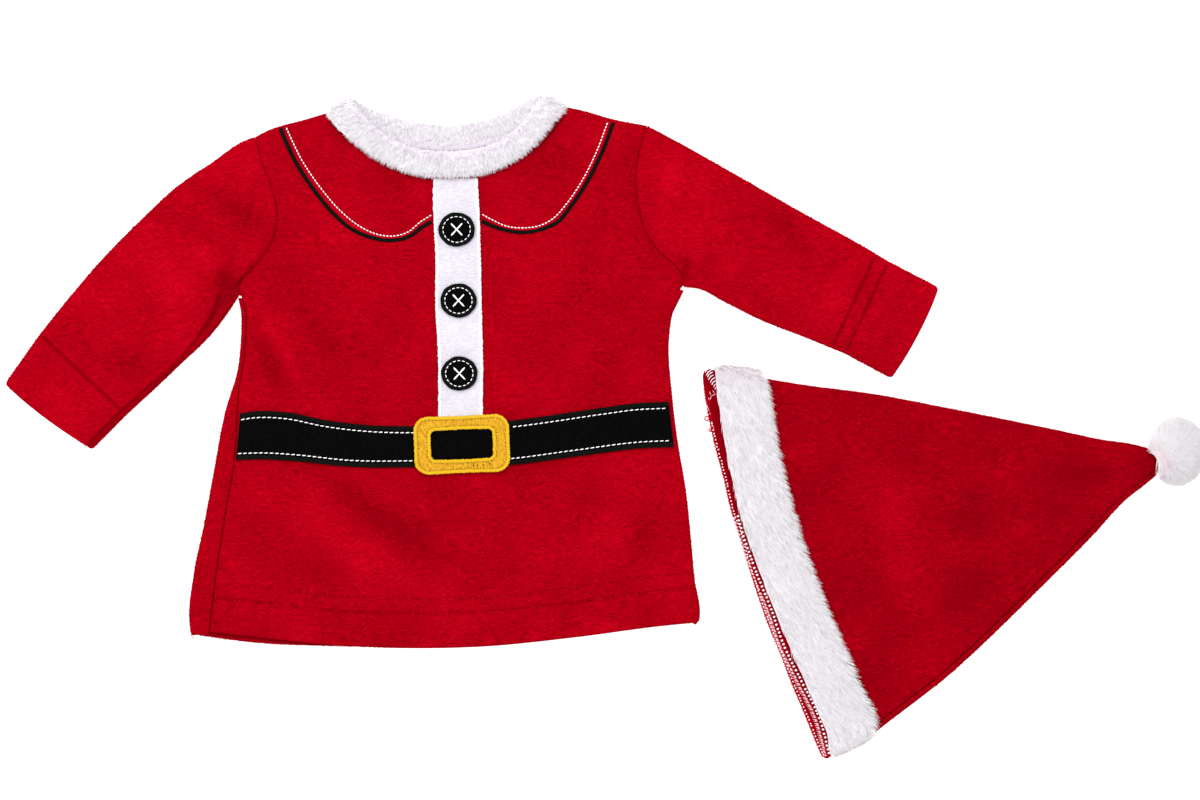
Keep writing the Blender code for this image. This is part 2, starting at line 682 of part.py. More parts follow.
def armhole_points(side):
    """The points where the body panels' rows meet an armhole, so that the sleeve meets them one to one."""
    sides = body_sides()
    hem, top = joined(BACK_HEM), joined(LEFT_SHOULDER, BACK_NECK, RIGHT_SHOULDER)
    both = np.array([0.0, 1.0])
    x, y = body_rows(hem, top, sides["fold"], sides["roll"], both, HEM_SHARES[:1])
    column = 0 if side == "left" else 1
    count = len(ARMHOLE_LEVELS)
    return np.stack([x[-count:, column], y[-count:, column]], axis=1)


def sleeve_edge(table, end, shares, cuff_shares):
    """An edge of a sleeve at each station: the smooth edge down to the cuff's seam, then the cuff's own edge."""
    arm = along(table, shares)
    cuff = arm[-1] + np.array(cuff_shares)[:, None] * (np.array(end) - arm[-1])
    return np.vstack([arm, cuff])


def sleeve(name, side, top_table, low_table, cuff_end, fold_table, pipe, plush):
    """A sleeve laid flat: a tube whose upper and lower layers lie on each other, open at the armhole and cuff."""
    top = sleeve_edge(top_table, cuff_end[0], SLEEVE_SHARES, CUFF_SHARES)
    low = sleeve_edge(low_table, cuff_end[1], SLEEVE_SHARES, CUFF_SHARES)
    seam_row = len(SLEEVE_SHARES) - 1
    turn = 1 if side == "left" else -1
    top_out, low_out = turn * leaning(top), -turn * leaning(low)
    to_end = np.linalg.norm(top[-1] - top, axis=1)
    round_off = CUFF_CORNER - np.sqrt(CUFF_CORNER**2 - np.clip(CUFF_CORNER - to_end, 0, CUFF_CORNER) ** 2)
    inset = (EDGE + round_off)[:, None]
    top_in, low_in = top - inset * top_out, low - inset * low_out
    # The first station follows the armhole, a gap away from the body, and that shape fades towards the cuff
    hole = armhole_points(side)[::-1]
    hole += turn * GAP * leaning(hole)
    for end, beside, outwards in ((0, 1, top_out), (-1, -2, low_out)):
        way = hole[end] - hole[beside]
        outwards[0] = way / np.linalg.norm(way)
        hole[end] -= EDGE * outwards[0]
    top_in[0], low_in[0] = hole[0], hole[-1]
    run = np.concatenate([[0], np.cumsum(np.linalg.norm(np.diff(hole, axis=0), axis=1))])
    shares = run / run[-1]
    across = shares[:, None]
    fade = (1 - eased(np.linspace(0, 1, len(top)) / ARMHOLE_FADE))[:, None, None]
    bend = hole - hole[0] - across * (hole[-1] - hole[0])
    plan = top_in[:, None] * (1 - across) + low_in[:, None] * across + fade * bend
    x, y = plan[:, :, 0], plan[:, :, 1]
    from_seam = np.linalg.norm(plan - plan[seam_row], axis=2)
    from_seam[:seam_row] *= -1
    from_hole = np.linalg.norm(plan - plan[0], axis=2)
    middle = 1 - np.abs(2 * shares - 1) ** 3
    flatter = 1 - CUFF_FLATTER * eased(from_seam / CUFF_RISE + 1)
    lift = SLEEVE_PUFF * middle * rounded(from_hole, SLEEVE_RISE) * flatter
    soft = folds(x, y, fold_table) * middle
    lines = groove(from_seam)
    if pipe:
        lines = lines + groove(from_seam + pipe)
    height = OVER + np.maximum(lift + soft, 0) + (GROOVE + lines) * rounded(middle, 0.3)
    upper, under = stacked(x, y, height), stacked(x, y, UNDER)[:, ::-1]
    low_fold, low_normals = fold_round(low_in, low_out, 150, 30, 4)
    top_fold, top_normals = fold_round(top_in, top_out, 30, 150, 4)
    points = np.concatenate([upper, low_fold, under, top_fold], axis=1)
    normals = np.concatenate([upright(upper), low_normals, -upright(under), top_normals], axis=1)
    return cloth(name, points, normals, plush, PLUSH, closed=True)


def hat_plan(shares):
    """Plan grid of the hat: stations from the band to the tip, and shares from the top edge to the lower one.
    The line beside the band fades into straight ones towards the tip."""
    top, low = along(HAT_TOP, HAT_STATIONS), along(HAT_LOW, HAT_STATIONS)
    top_out, low_out = -leaning(top), leaning(low)
    top_in, low_in = top - EDGE * top_out, low - EDGE * low_out
    across = shares[:, None]
    start = along(HAT_MOUTH, shares)
    start += (1 - across) * (top_in[0] - start[0]) + across * (low_in[0] - start[-1])
    straight = top_in[0] + across * (low_in[0] - top_in[0])
    fade = (1 - eased(np.array(HAT_STATIONS) / HAT_BEND))[:, None, None]
    plan = top_in[:, None] * (1 - across) + low_in[:, None] * across + fade * (start - straight)
    return plan, top_out, low_out


def hat_lift(from_band):
    """How far the back half of the fur band lifts the cloth, by distance from the front band's inner edge."""
    start, end = BAND_SLOPE
    return BAND_LIFT * (1 - eased((from_band - start) / (end - start)))


def seam_strip(plan):
    """Width of the back's strip over the lower edge. It narrows where the hat does, towards the tip."""
    width = np.linalg.norm(plan[:, -1] - plan[:, 0], axis=1)
    return WRAP_LEAST + (HAT_SEAM - EDGE - WRAP_LEAST) * np.clip((width - 3) / 20, 0, 1)[:, None]


def hat_front(plush):
    """The front of the hat. Its top edge rolls over, down to the surface, and its lower edge meets the strip."""
    shares = edge_shares(HAT_ROWS, 0.12)
    plan, top_out, low_out = hat_plan(shares)
    from_band = np.linalg.norm(plan - plan[0], axis=2)
    plan[:, -1] -= (seam_strip(plan) + GAP) * low_out
    middle = 1 - np.abs(2 * shares - 1) ** 3
    inside = middle * (1 - eased((np.array(HAT_STATIONS)[:, None] - HAT_BEND) / 0.3))
    soft = folds(plan[:, :, 0], plan[:, :, 1], HAT_FOLDS) * inside
    puff = HAT_PUFF * inside * eased(from_band / HAT_RISE + 0.1)
    lift = hat_lift(from_band)
    main = stacked(plan[:, :, 0], plan[:, :, 1], OVER + lift + np.maximum(puff + soft, 0))
    roll, roll_normals = fold_round(plan[:, 0], top_out, 90, 150, 3)
    roll[:, :, 2] += lift[:, :1]
    foot = roll[:, :1].copy()
    foot[:, :, 2] = FOOT + lift[:, :1]
    points = np.concatenate([foot, roll, main], axis=1)
    normals = np.concatenate([roll_normals[:, :1], roll_normals, upright(main)], axis=1)
    return cloth("hat_front_panel", points, normals, plush, PLUSH)


def hat_back(plush):
    """The back of the hat lies on the surface, folds up along the lower edge, and runs on through the fur band to
    the mouth, where its inside shows."""
    shares = edge_shares(HAT_ROWS - 2, 0.12)
    plan, top_out, low_out = hat_plan(shares)
    plan -= HAT_EDGE_LINE * top_out[:, None] * (1 - shares)[None, :, None]
    mouth = along(HAT_INSIDE_EDGE, shares)
    inner = mouth + np.array(INSIDE_STATIONS)[:, None, None] * (plan[0] - mouth)
    narrow = INSIDE_NARROW[1] * shares**6 - INSIDE_NARROW[0] * (1 - shares) ** 6
    inner[1:, :, 1] += narrow
    from_band = np.linalg.norm(plan - plan[0], axis=2)
    before = -np.linalg.norm(inner - plan[0], axis=2)
    lift = hat_lift(np.concatenate([before, from_band]))
    whole = np.concatenate([inner, plan])
    main = stacked(whole[:, :, 0], whole[:, :, 1], UNDER + lift)
    out = np.vstack([low_out[:1].repeat(len(inner), axis=0), low_out])
    wrap, wrap_normals = fold_round(whole[:, -1], out, 30, 180, 6)
    wrap[:, :, 2] += lift[:, -1:]
    edge = wrap[:, -1:].copy()
    strip = seam_strip(plan)
    edge[:, 0, :2] -= np.vstack([strip[:1].repeat(len(inner), axis=0), strip]) * out
    points = np.concatenate([main, wrap, edge], axis=1)
    normals = np.concatenate([-upright(main), wrap_normals, upright(edge)], axis=1)
    present = np.ones((points.shape[0] - 1, points.shape[1] - 1), bool)
    present[: len(inner) + 1, main.shape[1] - 1 :] = False
    return cloth("hat_back_panel", points, normals, plush, PLUSH, present)


def pompom(fur):
    """A fur ball: three-sided locks that stand apart on a solid core, one on each facet between its roots. Those
    that point at the hat are short, so that its tip stays clear."""
    count = np.arange(POMPOM_POINTS) + 0.5
    polar = np.arccos(1 - 2 * count / POMPOM_POINTS)
    turn = np.pi * (1 + np.sqrt(5)) * count
    ball = np.stack([np.sin(polar) * np.cos(turn), np.sin(polar) * np.sin(turn), np.cos(polar)], axis=1)
    core, radii = np.array(POMPOM_CORE), np.array(POMPOM_CORE_RADII)
    centre, reach = np.array(POMPOM_CENTRE), np.array(POMPOM_REACH)
    shape = bmesh.new()
    for point in (ball * radii + core) * MM:
        shape.verts.new(point)
    bmesh.ops.convex_hull(shape, input=shape.verts)
    locks = bmesh.ops.poke(shape, faces=shape.faces)["verts"]
    draw = np.random.default_rng(7)
    for lock in locks:
        root = np.array(lock.co) / MM
        way = (root - core) / radii
        way = way / np.linalg.norm(way) + draw.normal(0, LOCK_LEAN, 3)
        tip = centre + way / np.linalg.norm(way) * draw.uniform(*LOCK_LENGTHS) * reach
        for share in np.linspace(1, 0.1, LOCK_STEPS):
            end = root + share * (tip - root)
            clear = HAT_TIP_CLEAR - HAT_TIP_OVER * (end[2] > HAT_TIP_HIGH)
            beyond = end[0] > HAT_TIP[0] and np.hypot(*(end[:2] - HAT_TIP)) > clear
            if beyond or end[1] > HAT_TIP_TOP:
                break
        lock.co = Vector(end * MM)
    bmesh.ops.recalc_face_normals(shape, faces=shape.faces)
    mesh = bpy.data.meshes.new("hat_pompom")
    shape.to_mesh(mesh)
    shape.free()
    return add_object("hat_pompom", mesh, fur)


def surface_below(objects):
    """A function that gives the height, in millimetres, of the highest of these objects at plan points."""
    graph = bpy.context.evaluated_depsgraph_get()
    trees = [BVHTree.FromObject(obj, graph) for obj in objects]

    def height(x, y):
        found = np.empty(x.size)
        for i, (px, py) in enumerate(zip(x.ravel(), y.ravel())):
            start = Vector((px * MM, py * MM, 0.1))
            hits = [tree.ray_cast(start, Vector((0, 0, -1)))[0] for tree in trees]
            found[i] = max(hit.z / MM for hit in hits if hit)
        return found.reshape(x.shape)

    return height


def laid(name, plan, material, thickness, height, lift=0.0, closed=False):
    """A piece that lies on the front panel, made from the panel's own height under each of its points."""
    x, y = plan[:, :, 0], plan[:, :, 1]
    grid = stacked(x, y, height(x, y) + GAP + lift + thickness / 2)
    return cloth(name, grid, upright(grid), material, thickness, closed=closed)


def between(first, second, count):
    """Plan grid of `count` rows from one line of points to another."""
    shares = np.linspace(0, 1, count)[:, None, None]
    return first[None] * (1 - shares) + second[None] * shares


def ribbon(table, width, stations):
    """Plan grid of a ribbon of this width along a curve."""
    line = along(table, np.linspace(0, 1, stations))
    side = leaning(line) * width / 2
    return np.stack([line - side, line, line + side], axis=1)


def rounded_rectangle(width, height, radius, steps):
    """Points round a rectangle with round corners, the same number on each corner, from the right-hand side."""
    corners = []
    for turn in range(4):
        angle = np.radians(90 * turn + np.linspace(0, 90, steps))
        sign = ((1, 1), (-1, 1), (-1, -1), (1, -1))[turn]
        centre = np.array(sign) * (width / 2 - radius, height / 2 - radius)
        corners.append(centre + radius * np.stack([np.cos(angle), np.sin(angle)], axis=1))
    return np.vstack(corners)


def button(name, centre, material, height):
    """A flat felt disc that takes the height of the placket under each of its points: a square grid whose rings
    are drawn out to circles."""
    steps = np.linspace(-1, 1, BUTTON_STEPS)
    u, v = np.meshgrid(steps, steps)
    ring = np.maximum(np.abs(u), np.abs(v))
    reach = np.maximum(np.hypot(u, v), 1e-9)
    plan = np.dstack([u, v]) * (ring / reach)[:, :, None] * BUTTON_RADII + centre
    return laid(name, plan, material, BUTTON_THICK, height)


def main():
    clear_scene()
    plush = finish("red_plush", 0.43, 0.005, 0.008, 0.85)
    fur = finish("white_fur", 0.85, 0.82, 0.86, 0.9)
    white = finish("white_plush", 0.88, 0.86, 0.9, 0.85)
    black = finish("black_felt", 0.008, 0.008, 0.008, 0.8)
    yellow = finish("yellow_thread", 0.83, 0.5, 0.03, 0.5)

    front = front_panel(plush)
    back_panel(plush)
    sleeve("sleeve_left", "left", LEFT_SLEEVE_TOP, LEFT_SLEEVE_LOW, LEFT_CUFF_END, LEFT_SLEEVE_FOLDS, 0, plush)
    sleeve(
        "sleeve_right",
        "right",
        RIGHT_SLEEVE_TOP,
        RIGHT_SLEEVE_LOW,
        RIGHT_CUFF_END,
        RIGHT_SLEEVE_FOLDS,
        CUFF_PIPE,
        plush,
    )
    fur_ring("neck_trim", NECK_RING, NECK_STATIONS, fur)

    hat_front(plush)
    hat_back(plush)
    fur_ring("hat_band", BAND_RING, BAND_STATIONS, fur)
    pompom(fur)

    on_front = surface_below([front])
    shares = np.linspace(0, 1, PLACKET_ROWS)
    placket_plan = between(along(PLACKET_LEFT, shares), along(PLACKET_RIGHT, shares), 4)
    placket = laid("placket", placket_plan, white, PLACKET_THICK, on_front)
    on_placket = surface_below([placket])
    for name, centre in zip(("button_top", "button_middle", "button_bottom"), BUTTONS):
        button(name, centre, black, on_placket)
    shares = edge_shares(BELT_COLUMNS, 0.05)
    belt_plan = between(along(BELT_LOW, shares), along(BELT_TOP, shares), 5)
    laid("belt", belt_plan, black, BELT_THICK, on_front)
    outer = rounded_rectangle(*BUCKLE_SIZE, 5)
    inner = rounded_rectangle(*BUCKLE_HOLE, 5)
    turn = np.radians(BUCKLE_TILT)
    turned = np.array([[np.cos(turn), np.sin(turn)], [-np.sin(turn), np.cos(turn)]])
    buckle_plan = between(inner, outer, 3) @ turned + np.array(BUCKLE_CENTRE)
    laid("buckle", buckle_plan, yellow, BUCKLE_THICK, on_front, lift=BELT_THICK + GAP, closed=True)
    laid("braid_left", ribbon(LEFT_BRAID, BRAID_WIDTH, BRAID_STATIONS), black, BRAID_THICK, on_front)
    laid("braid_right", ribbon(RIGHT_BRAID, BRAID_WIDTH, BRAID_STATIONS), black, BRAID_THICK, on_front)


main()
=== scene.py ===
"""A baby's plush top and cone hat with fur trims, laid flat on a pale table and seen from straight above."""

import bpy
import numpy as np
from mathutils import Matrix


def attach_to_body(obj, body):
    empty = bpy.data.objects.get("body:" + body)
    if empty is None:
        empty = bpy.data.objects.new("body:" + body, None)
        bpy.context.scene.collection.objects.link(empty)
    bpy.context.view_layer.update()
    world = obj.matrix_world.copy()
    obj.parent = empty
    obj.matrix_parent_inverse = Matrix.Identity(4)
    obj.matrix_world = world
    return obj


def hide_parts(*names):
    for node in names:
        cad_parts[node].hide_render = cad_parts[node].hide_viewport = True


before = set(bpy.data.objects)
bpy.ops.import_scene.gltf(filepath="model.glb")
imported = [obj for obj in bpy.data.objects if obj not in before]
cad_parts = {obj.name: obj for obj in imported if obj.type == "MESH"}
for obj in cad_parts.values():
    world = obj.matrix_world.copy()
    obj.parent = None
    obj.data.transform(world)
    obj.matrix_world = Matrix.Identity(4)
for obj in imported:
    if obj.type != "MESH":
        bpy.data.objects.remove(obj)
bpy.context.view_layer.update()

# Table, light and camera
# A white acrylic table that glows from below, under a wide softbox and a bright room, so that the set shows
# hardly any shadow but the soft ones between its layers. The camera stands straight above, on a long lens.
MM = 0.001
PIXEL, PIXELS_ACROSS = 0.56, 1200  # millimetres of table in each of the photograph's pixels
VIEW_CENTRE = (-2.8, 15.7)
LENS, SENSOR = 120.0, 36.0
SHARP_AT = 5.0  # height at which a pixel covers exactly that much, about the middle of the layers
TABLE_WHITE, TABLE_GLOW = "#b4b4b4", 0.97
TABLE_HALF, TABLE_DROP = 3000.0, 0.15  # half its side, and how far it lies under the set
ROOM_LIGHT = 0.95
SOFTBOX = (2.4, 64.0, (-0.55, 0.75, 2.3))  # side in metres, watts, place


def linear(colour):
    """The linear RGBA of an sRGB hex colour."""
    value = np.array([int(colour[i : i + 2], 16) for i in (1, 3, 5)]) / 255
    value = np.where(value <= 0.04045, value / 12.92, ((value + 0.055) / 1.055) ** 2.4)
    return (*value.tolist(), 1.0)


def add_node(tree, kind, inputs=(), **settings):
    """Adds a shader node. Settings are its attributes; each input is a socket to link from or a plain value."""
    made = tree.nodes.new("ShaderNode" + kind)
    for name, value in settings.items():
        setattr(made, name, value)
    for socket, value in dict(inputs).items():
        if isinstance(value, bpy.types.NodeSocket):
            tree.links.new(value, made.inputs[socket])
        else:
            made.inputs[socket].default_value = value
    return made


def finish_of(name, **sockets):
    """A Principled material with these constant sockets: the material, its node tree and its shader."""
    material = bpy.data.materials.new(name)
    material.use_nodes = True
    tree = material.node_tree
    shader = tree.nodes["Principled BSDF"]
    for socket, value in sockets.items():
        shader.inputs[socket.replace("_", " ")].default_value = value
    return material, tree, shader


def plain(name, colour, roughness, **sockets):
    """A material of one even colour, with any further constant sockets."""
    return finish_of(name, Base_Color=linear(colour), Roughness=roughness, **sockets)[0]


def mesh_piece(name, points, faces, material, uv=None, **numbers):
    """A mesh object from arrays: points in millimetres, faces all with the same number of corners, UV for each
    corner of each face, and any number for each point as a named attribute."""
    mesh = bpy.data.meshes.new(name)
    mesh.vertices.add(len(points))
    mesh.vertices.foreach_set("co", (points * MM).astype(np.float32).ravel())
    mesh.loops.add(faces.size)
    mesh.loops.foreach_set("vertex_index", faces.astype(np.int32).ravel())
    mesh.polygons.add(len(faces))
    mesh.polygons.foreach_set("loop_start", np.arange(len(faces), dtype=np.int32) * faces.shape[1])
    mesh.update(calc_edges=True)
    if uv is not None:
        mesh.uv_layers.new(name="along").data.foreach_set("uv", uv.astype(np.float32).ravel())
    for label, values in numbers.items():
        mesh.attributes.new(label, "FLOAT", "POINT").data.foreach_set("value", values.astype(np.float32))
    mesh.materials.append(material)
    mesh.shade_smooth()
    obj = bpy.data.objects.new(name, mesh)
    bpy.context.scene.collection.objects.link(obj)
    return obj


# Opal acrylic that glows evenly: the ground is white right up to the set's outline.
acrylic = plain(
    "lit_white_acrylic", TABLE_WHITE, 0.6, Emission_Color=(1, 1, 1, 1), Emission_Strength=TABLE_GLOW
)
corners = np.array([[-1, -1, 0], [1, -1, 0], [1, 1, 0], [-1, 1, 0]]) * TABLE_HALF - (0, 0, TABLE_DROP)
table = mesh_piece("table", corners, np.array([[0, 1, 2, 3]]), acrylic)

softbox = bpy.data.lights.new("softbox", "AREA")
softbox.size, softbox.energy = SOFTBOX[:2]
softbox_object = bpy.data.objects.new("softbox", softbox)
softbox_object.location = SOFTBOX[2]
aim = np.arctan2(-SOFTBOX[2][0], SOFTBOX[2][2]), np.arctan2(-SOFTBOX[2][1], SOFTBOX[2][2])
softbox_object.rotation_euler = (aim[1], -aim[0], 0)
bpy.context.scene.collection.objects.link(softbox_object)
room = bpy.data.worlds.new("room")
room.use_nodes = True
for socket, value in (("Color", (1, 1, 1, 1)), ("Strength", ROOM_LIGHT)):
    room.node_tree.nodes["Background"].inputs[socket].default_value = value
bpy.context.scene.world = room
bpy.context.scene.view_settings.view_transform = "Standard"

camera = bpy.data.cameras.new("camera")
camera.lens, camera.sensor_width = LENS, SENSOR
camera_object = bpy.data.objects.new("camera", camera)
distance = PIXELS_ACROSS * PIXEL * LENS / SENSOR + SHARP_AT
camera_object.location = (VIEW_CENTRE[0] * MM, VIEW_CENTRE[1] * MM, distance * MM)
bpy.context.scene.collection.objects.link(camera_object)
bpy.context.scene.camera = camera_object

# Front panel
# The front of the top, cut from red velour plush: a knit ground with a short dense pile that lies in swirls.
# Its left seam joins the back's strip, its right side rolls over to the surface, and its hem is turned up and
# held by two rows of stitching.
PLUSH = 2.0  # thickness of the cloth with its pile
GAP = 0.3
FOLD = (PLUSH + GAP) / 2  # radius of a folded edge at the middle of the cloth
EDGE = FOLD + PLUSH / 2
UNDER = PLUSH / 2
OVER = UNDER + 2 * FOLD + 0.05
FOOT = 0.75  # height at which the front's rolled side ends, above the back
SOFT_EDGE, EDGE_HALF = 1.3, 0.25  # the pile rounds a cut edge over this distance, down to this half thickness
WRAP_LEAST = 0.5  # least width of the strip where the back comes round a side
ROLL_STEPS, WRAP_STEPS = 6, 12  # stations round a side that rolls over, and round a whole fold
BODY_PAINTED_SHADING = (1.8, 0.6)  # how the folds (divided) and the grooves (times) paint shade and light on the body's pile
PUFF, PUFF_SIDE, PUFF_NECK = 2.6, 15.0, 12.0
HEM_STEP, HEM_DEPTH, HEM_SIDE = 0.6, 27.5, 6.0
HEM_ROWS = (0.70, 1.0)  # the two rows of stitching, as shares from the hem to the upper one
GROOVE, GROOVE_WIDTH = 0.75, 0.9
PLUSH_DARK, PLUSH_RED, PLUSH_BRIGHT = "#77000a", "#94000f", "#ac0218"
SWIRL_SIZE, SWIRL_BEND = 20.0, 19.0  # the pile's swirls, and how far they bend the streaks
STREAK = (0.8, 2.9)  # width and length of a streak of pile
LEFT_FOLD = (
    (-229.6, -118.6), (-231.6, -116.9), (-232.4, -113.6), (-230.7, -82.3), (-225.1, -55.4), (-220.1, -28.6),
    (-212.2, 11.8), (-206.1, 31.9), (-204.4, 45.4), (-203.8, 73.9),
)
RIGHT_ROLL = (
    (50.6, -110.4), (52.5, -108.2), (53.1, -104.6), (50.4, -85.7), (48.2, -62.2), (45.4, -35.3), (40.9, -8.4),
    (37.6, 18.5), (35.8, 48.7), (38.1, 65.5), (41.5, 76.5),
)
LEFT_SEAM = (
    (-221.5, -114.2), (-218.0, -84.0), (-213.0, -51.0), (-207.5, -17.9), (-205.0, 23.0), (-202.7, 66.0),
)
LEFT_ARMHOLE = (
    (-203.8, 73.9), (-205.2, 79.0), (-200.2, 86.2), (-191.5, 96.3), (-185.4, 107.5), (-183.7, 119.3),
    (-186.5, 133.3), (-191.5, 146.2), (-196.0, 163.0),
)
RIGHT_ARMHOLE = (
    (43.4, 80.0), (43.5, 85.1), (38.5, 92.4), (29.7, 99.9), (22.2, 112.6), (19.0, 124.9), (17.4, 140.0),
    (19.0, 152.3), (23.5, 169.3),
)
FRONT_HEM = (
    (-221.5, -114.2), (-198.0, -116.9), (-148.0, -121.9), (-108.0, -123.4), (-67.4, -122.4), (-17.4, -117.4),
    (32.5, -110.9), (53.1, -108.9),
)
BACK_HEM = (
    (-232.4, -115.6), (-198.2, -120.2), (-148.0, -122.4), (-108.0, -123.1), (-67.4, -122.1), (-17.4, -117.1),
    (32.5, -110.6), (53.1, -108.6),
)
HEM_STITCH = (
    (-229.0, -86.8), (-193.0, -89.4), (-150.0, -94.2), (-108.1, -95.8), (-57.4, -94.4), (-22.4, -90.4),
    (32.5, -82.9), (51.0, -81.2),
)
LEFT_SHOULDER = ((-196.0, 163.0), (-189.8, 166.3), (-167.4, 173.0), (-156.2, 176.4))
RIGHT_SHOULDER = ((-21.9, 180.0), (-11.2, 177.5), (4.5, 173.0), (23.5, 169.3))
FRONT_NECK = (
    (-156.2, 176.1), (-150.6, 167.7), (-136.8, 156.4), (-122.8, 147.1), (-102.0, 140.2), (-71.3, 141.1),
    (-49.8, 149.9), (-34.2, 161.5), (-21.9, 179.7),
)
BACK_NECK = (
    (-156.2, 176.1), (-150.0, 168.0), (-135.0, 158.2), (-119.0, 154.6), (-96.0, 152.5), (-76.0, 152.6),
    (-60.0, 155.4), (-40.0, 163.0), (-21.9, 179.7),
)
ARMHOLE_FOOT, UNDERARM = 72.9, 64.5  # where the armhole begins, and where the side's own line ends
# Soft folds: centre x and y, half length, half width, height (below zero for a trough), direction in degrees
BODY_FOLDS = (
    (-183.1, 49.3, 26.0, 6.5, 2.0, -60.6),
    (-186.0, 35.3, 17.0, 5.5, -1.5, -62.6),
    (-157.4, 49.3, 20.0, 6.0, -1.6, -53.0),
    (-129.4, -47.6, 46.0, 8.0, -2.0, -36.3),
    (-141.7, -69.0, 45.0, 12.0, 1.4, -35.0),
    (-16.8, -70.0, 28.0, 15.0, 1.2, 20.0),
    (19.6, -62.0, 17.0, 7.0, -1.0, 75.0),
    (4.0, 30.0, 24.0, 10.0, -1.0, 75.0),
)


def unit(vectors):
    """The vectors at a length of 1."""
    return vectors / np.linalg.norm(vectors, axis=-1, keepdims=True)


def run_of(line):
    """The distance along a line from its start to each of its points."""
    return np.concatenate([[0], np.cumsum(np.linalg.norm(np.diff(line, axis=0), axis=1))])


def at_run(at, run, line):
    """The line's columns where its run has these values."""
    return np.stack([np.interp(at, run, column) for column in line.T], axis=1)


def along(rows, shares, closed=False):
    """The smooth curve through the rows, read at these shares of its length: between two rows a cubic, with the
    slopes that the rows on either side give."""
    points = np.array(rows, float)
    if closed:
        points = np.vstack([points[-2:], points, points[:3]])
    reached = run_of(points[:, :3])
    slopes = np.gradient(points, reached, axis=0)
    first, last = (reached[2], reached[-3]) if closed else (0, reached[-1])
    where = first + np.asarray(shares) * (last - first)
    low = np.clip(np.searchsorted(reached, where, side="right") - 1, 0, len(points) - 2)
    step = (reached[low + 1] - reached[low])[:, None]
    t = (where - reached[low])[:, None] / step
    return (
        (2 * t**3 - 3 * t**2 + 1) * points[low]
        + (t**3 - 2 * t**2 + t) * step * slopes[low]
        + (3 * t**2 - 2 * t**3) * points[low + 1]
        + (t**3 - t**2) * step * slopes[low + 1]
    )


def joined(*tables):
    """The smooth curves through these tables as one fine line, end to end."""
    return np.vstack([along(table, np.linspace(0, 1, 160)) for table in tables])


def read(line, at, by):
    """The line's other coordinate where coordinate `by` has these values."""
    order = np.argsort(line[:, by], kind="stable")
    return np.interp(at, line[order, by], line[order, 1 - by])


def right_of(ways):
    """The unit vectors to the right of these directions."""
    ways = unit(ways)
    return np.stack([ways[:, 1], -ways[:, 0]], axis=1)


def leaning(line):
    """The unit normal to the right of a line's direction, at each of its points."""
    return right_of(np.gradient(line, axis=0))


def rounded(distance, reach):
    """0 at an edge, rising like a quarter wave to 1 at `reach` from it."""
    return np.sin(np.pi / 2 * np.clip(distance / reach, 0, 1))


def eased(value):
    """0 to 1, level at both ends."""
    t = np.clip(value, 0, 1)
    return t * t * (3 - 2 * t)


def folds(x, y, rows):
    """The sum of soft ridges and troughs, each a bell across and along its own direction."""
    height = np.zeros_like(x)
    for centre_x, centre_y, length, width, rise, degrees in rows:
        turn = np.radians(degrees)
        run = (x - centre_x) * np.cos(turn) + (y - centre_y) * np.sin(turn)
        side = (y - centre_y) * np.cos(turn) - (x - centre_x) * np.sin(turn)
        height += rise * np.exp(-((run / length) ** 2) - (side / width) ** 2)
    return height


def groove(distance):
    """A stitched line: a narrow dip at distance 0."""
    return -GROOVE * np.exp(-((distance / GROOVE_WIDTH) ** 2))


def stacked(x, y, z):
    return np.dstack([x, y, z + np.zeros_like(x)])


def upright(grid):
    """A normal straight up at each of a grid's points."""
    return np.zeros_like(grid) + (0.0, 0.0, 1.0)


def half_thick(free, reach=SOFT_EDGE):
    """Half the cloth's thickness at these distances from a cut edge: from the least to the full."""
    return EDGE_HALF + (PLUSH / 2 - EDGE_HALF) * rounded(free, reach)


def grid_quads(rows, columns, round_rows=False, round_columns=False):
    """The four-sided faces between a grid's points, numbered row by row. The grid may close on itself."""
    index = np.arange(rows * columns).reshape(rows, columns)
    if round_rows:
        index = np.vstack([index, index[:1]])
    if round_columns:
        index = np.hstack([index, index[:, :1]])
    return np.stack([index[:-1, :-1], index[:-1, 1:], index[1:, 1:], index[1:, :-1]], axis=-1)


def cloth(name, points, normals, half, material, nap, present=None, closed=False):
    """A cloth piece from a grid of points in its middle: two skins at half its thickness to each side along the
    normals, closed by a rim. The half thickness falls towards cut edges, where the pile rounds them. The nap
    value runs from -1, darkest, to 1, brightest: it stands for the pile's lie and is painted shading too, the
    shade of troughs, grooves and shaded places and the light on ridges and edges."""
    shape = points.shape[:2]
    quads = grid_quads(*shape, round_columns=closed)
    quads = quads.reshape(-1, 4) if present is None else quads[present]
    used, quads = np.unique(quads.reshape(-1), return_inverse=True)
    quads = quads.reshape(-1, 4)
    middle = points.reshape(-1, 3)[used]
    offset = normals.reshape(-1, 3)[used] * (half + np.zeros(shape)).reshape(-1)[used, None]
    count = len(used)
    starts, ends = quads.reshape(-1), np.roll(quads, -1, axis=1).reshape(-1)
    open_edge = ~np.isin(starts * count + ends, ends * count + starts)
    starts, ends = starts[open_edge], ends[open_edge]
    rim = np.stack([ends, starts, starts + count, ends + count], axis=1)
    faces = np.vstack([quads, quads[:, ::-1] + count, rim])
    first = quads[0]
    across = np.cross(middle[first[1]] - middle[first[0]], middle[first[3]] - middle[first[0]])
    if across @ offset[first[0]] < 0:
        faces = faces[:, ::-1]
    value = (nap + np.zeros(shape)).reshape(-1)[used]
    skins = np.vstack([middle + offset, middle - offset])
    return mesh_piece(name, skins, faces, material, nap=np.concatenate([value, value]))


def close_shares(count, near):
    """Shares from 0 to 1, evenly spaced inside and crowded towards both ends, where cut edges round off."""
    ends = near * np.array([0, 0.03, 0.08, 0.16, 0.3, 0.55])
    return np.concatenate([ends, np.linspace(near, 1 - near, count - 12), 1 - ends[::-1]])


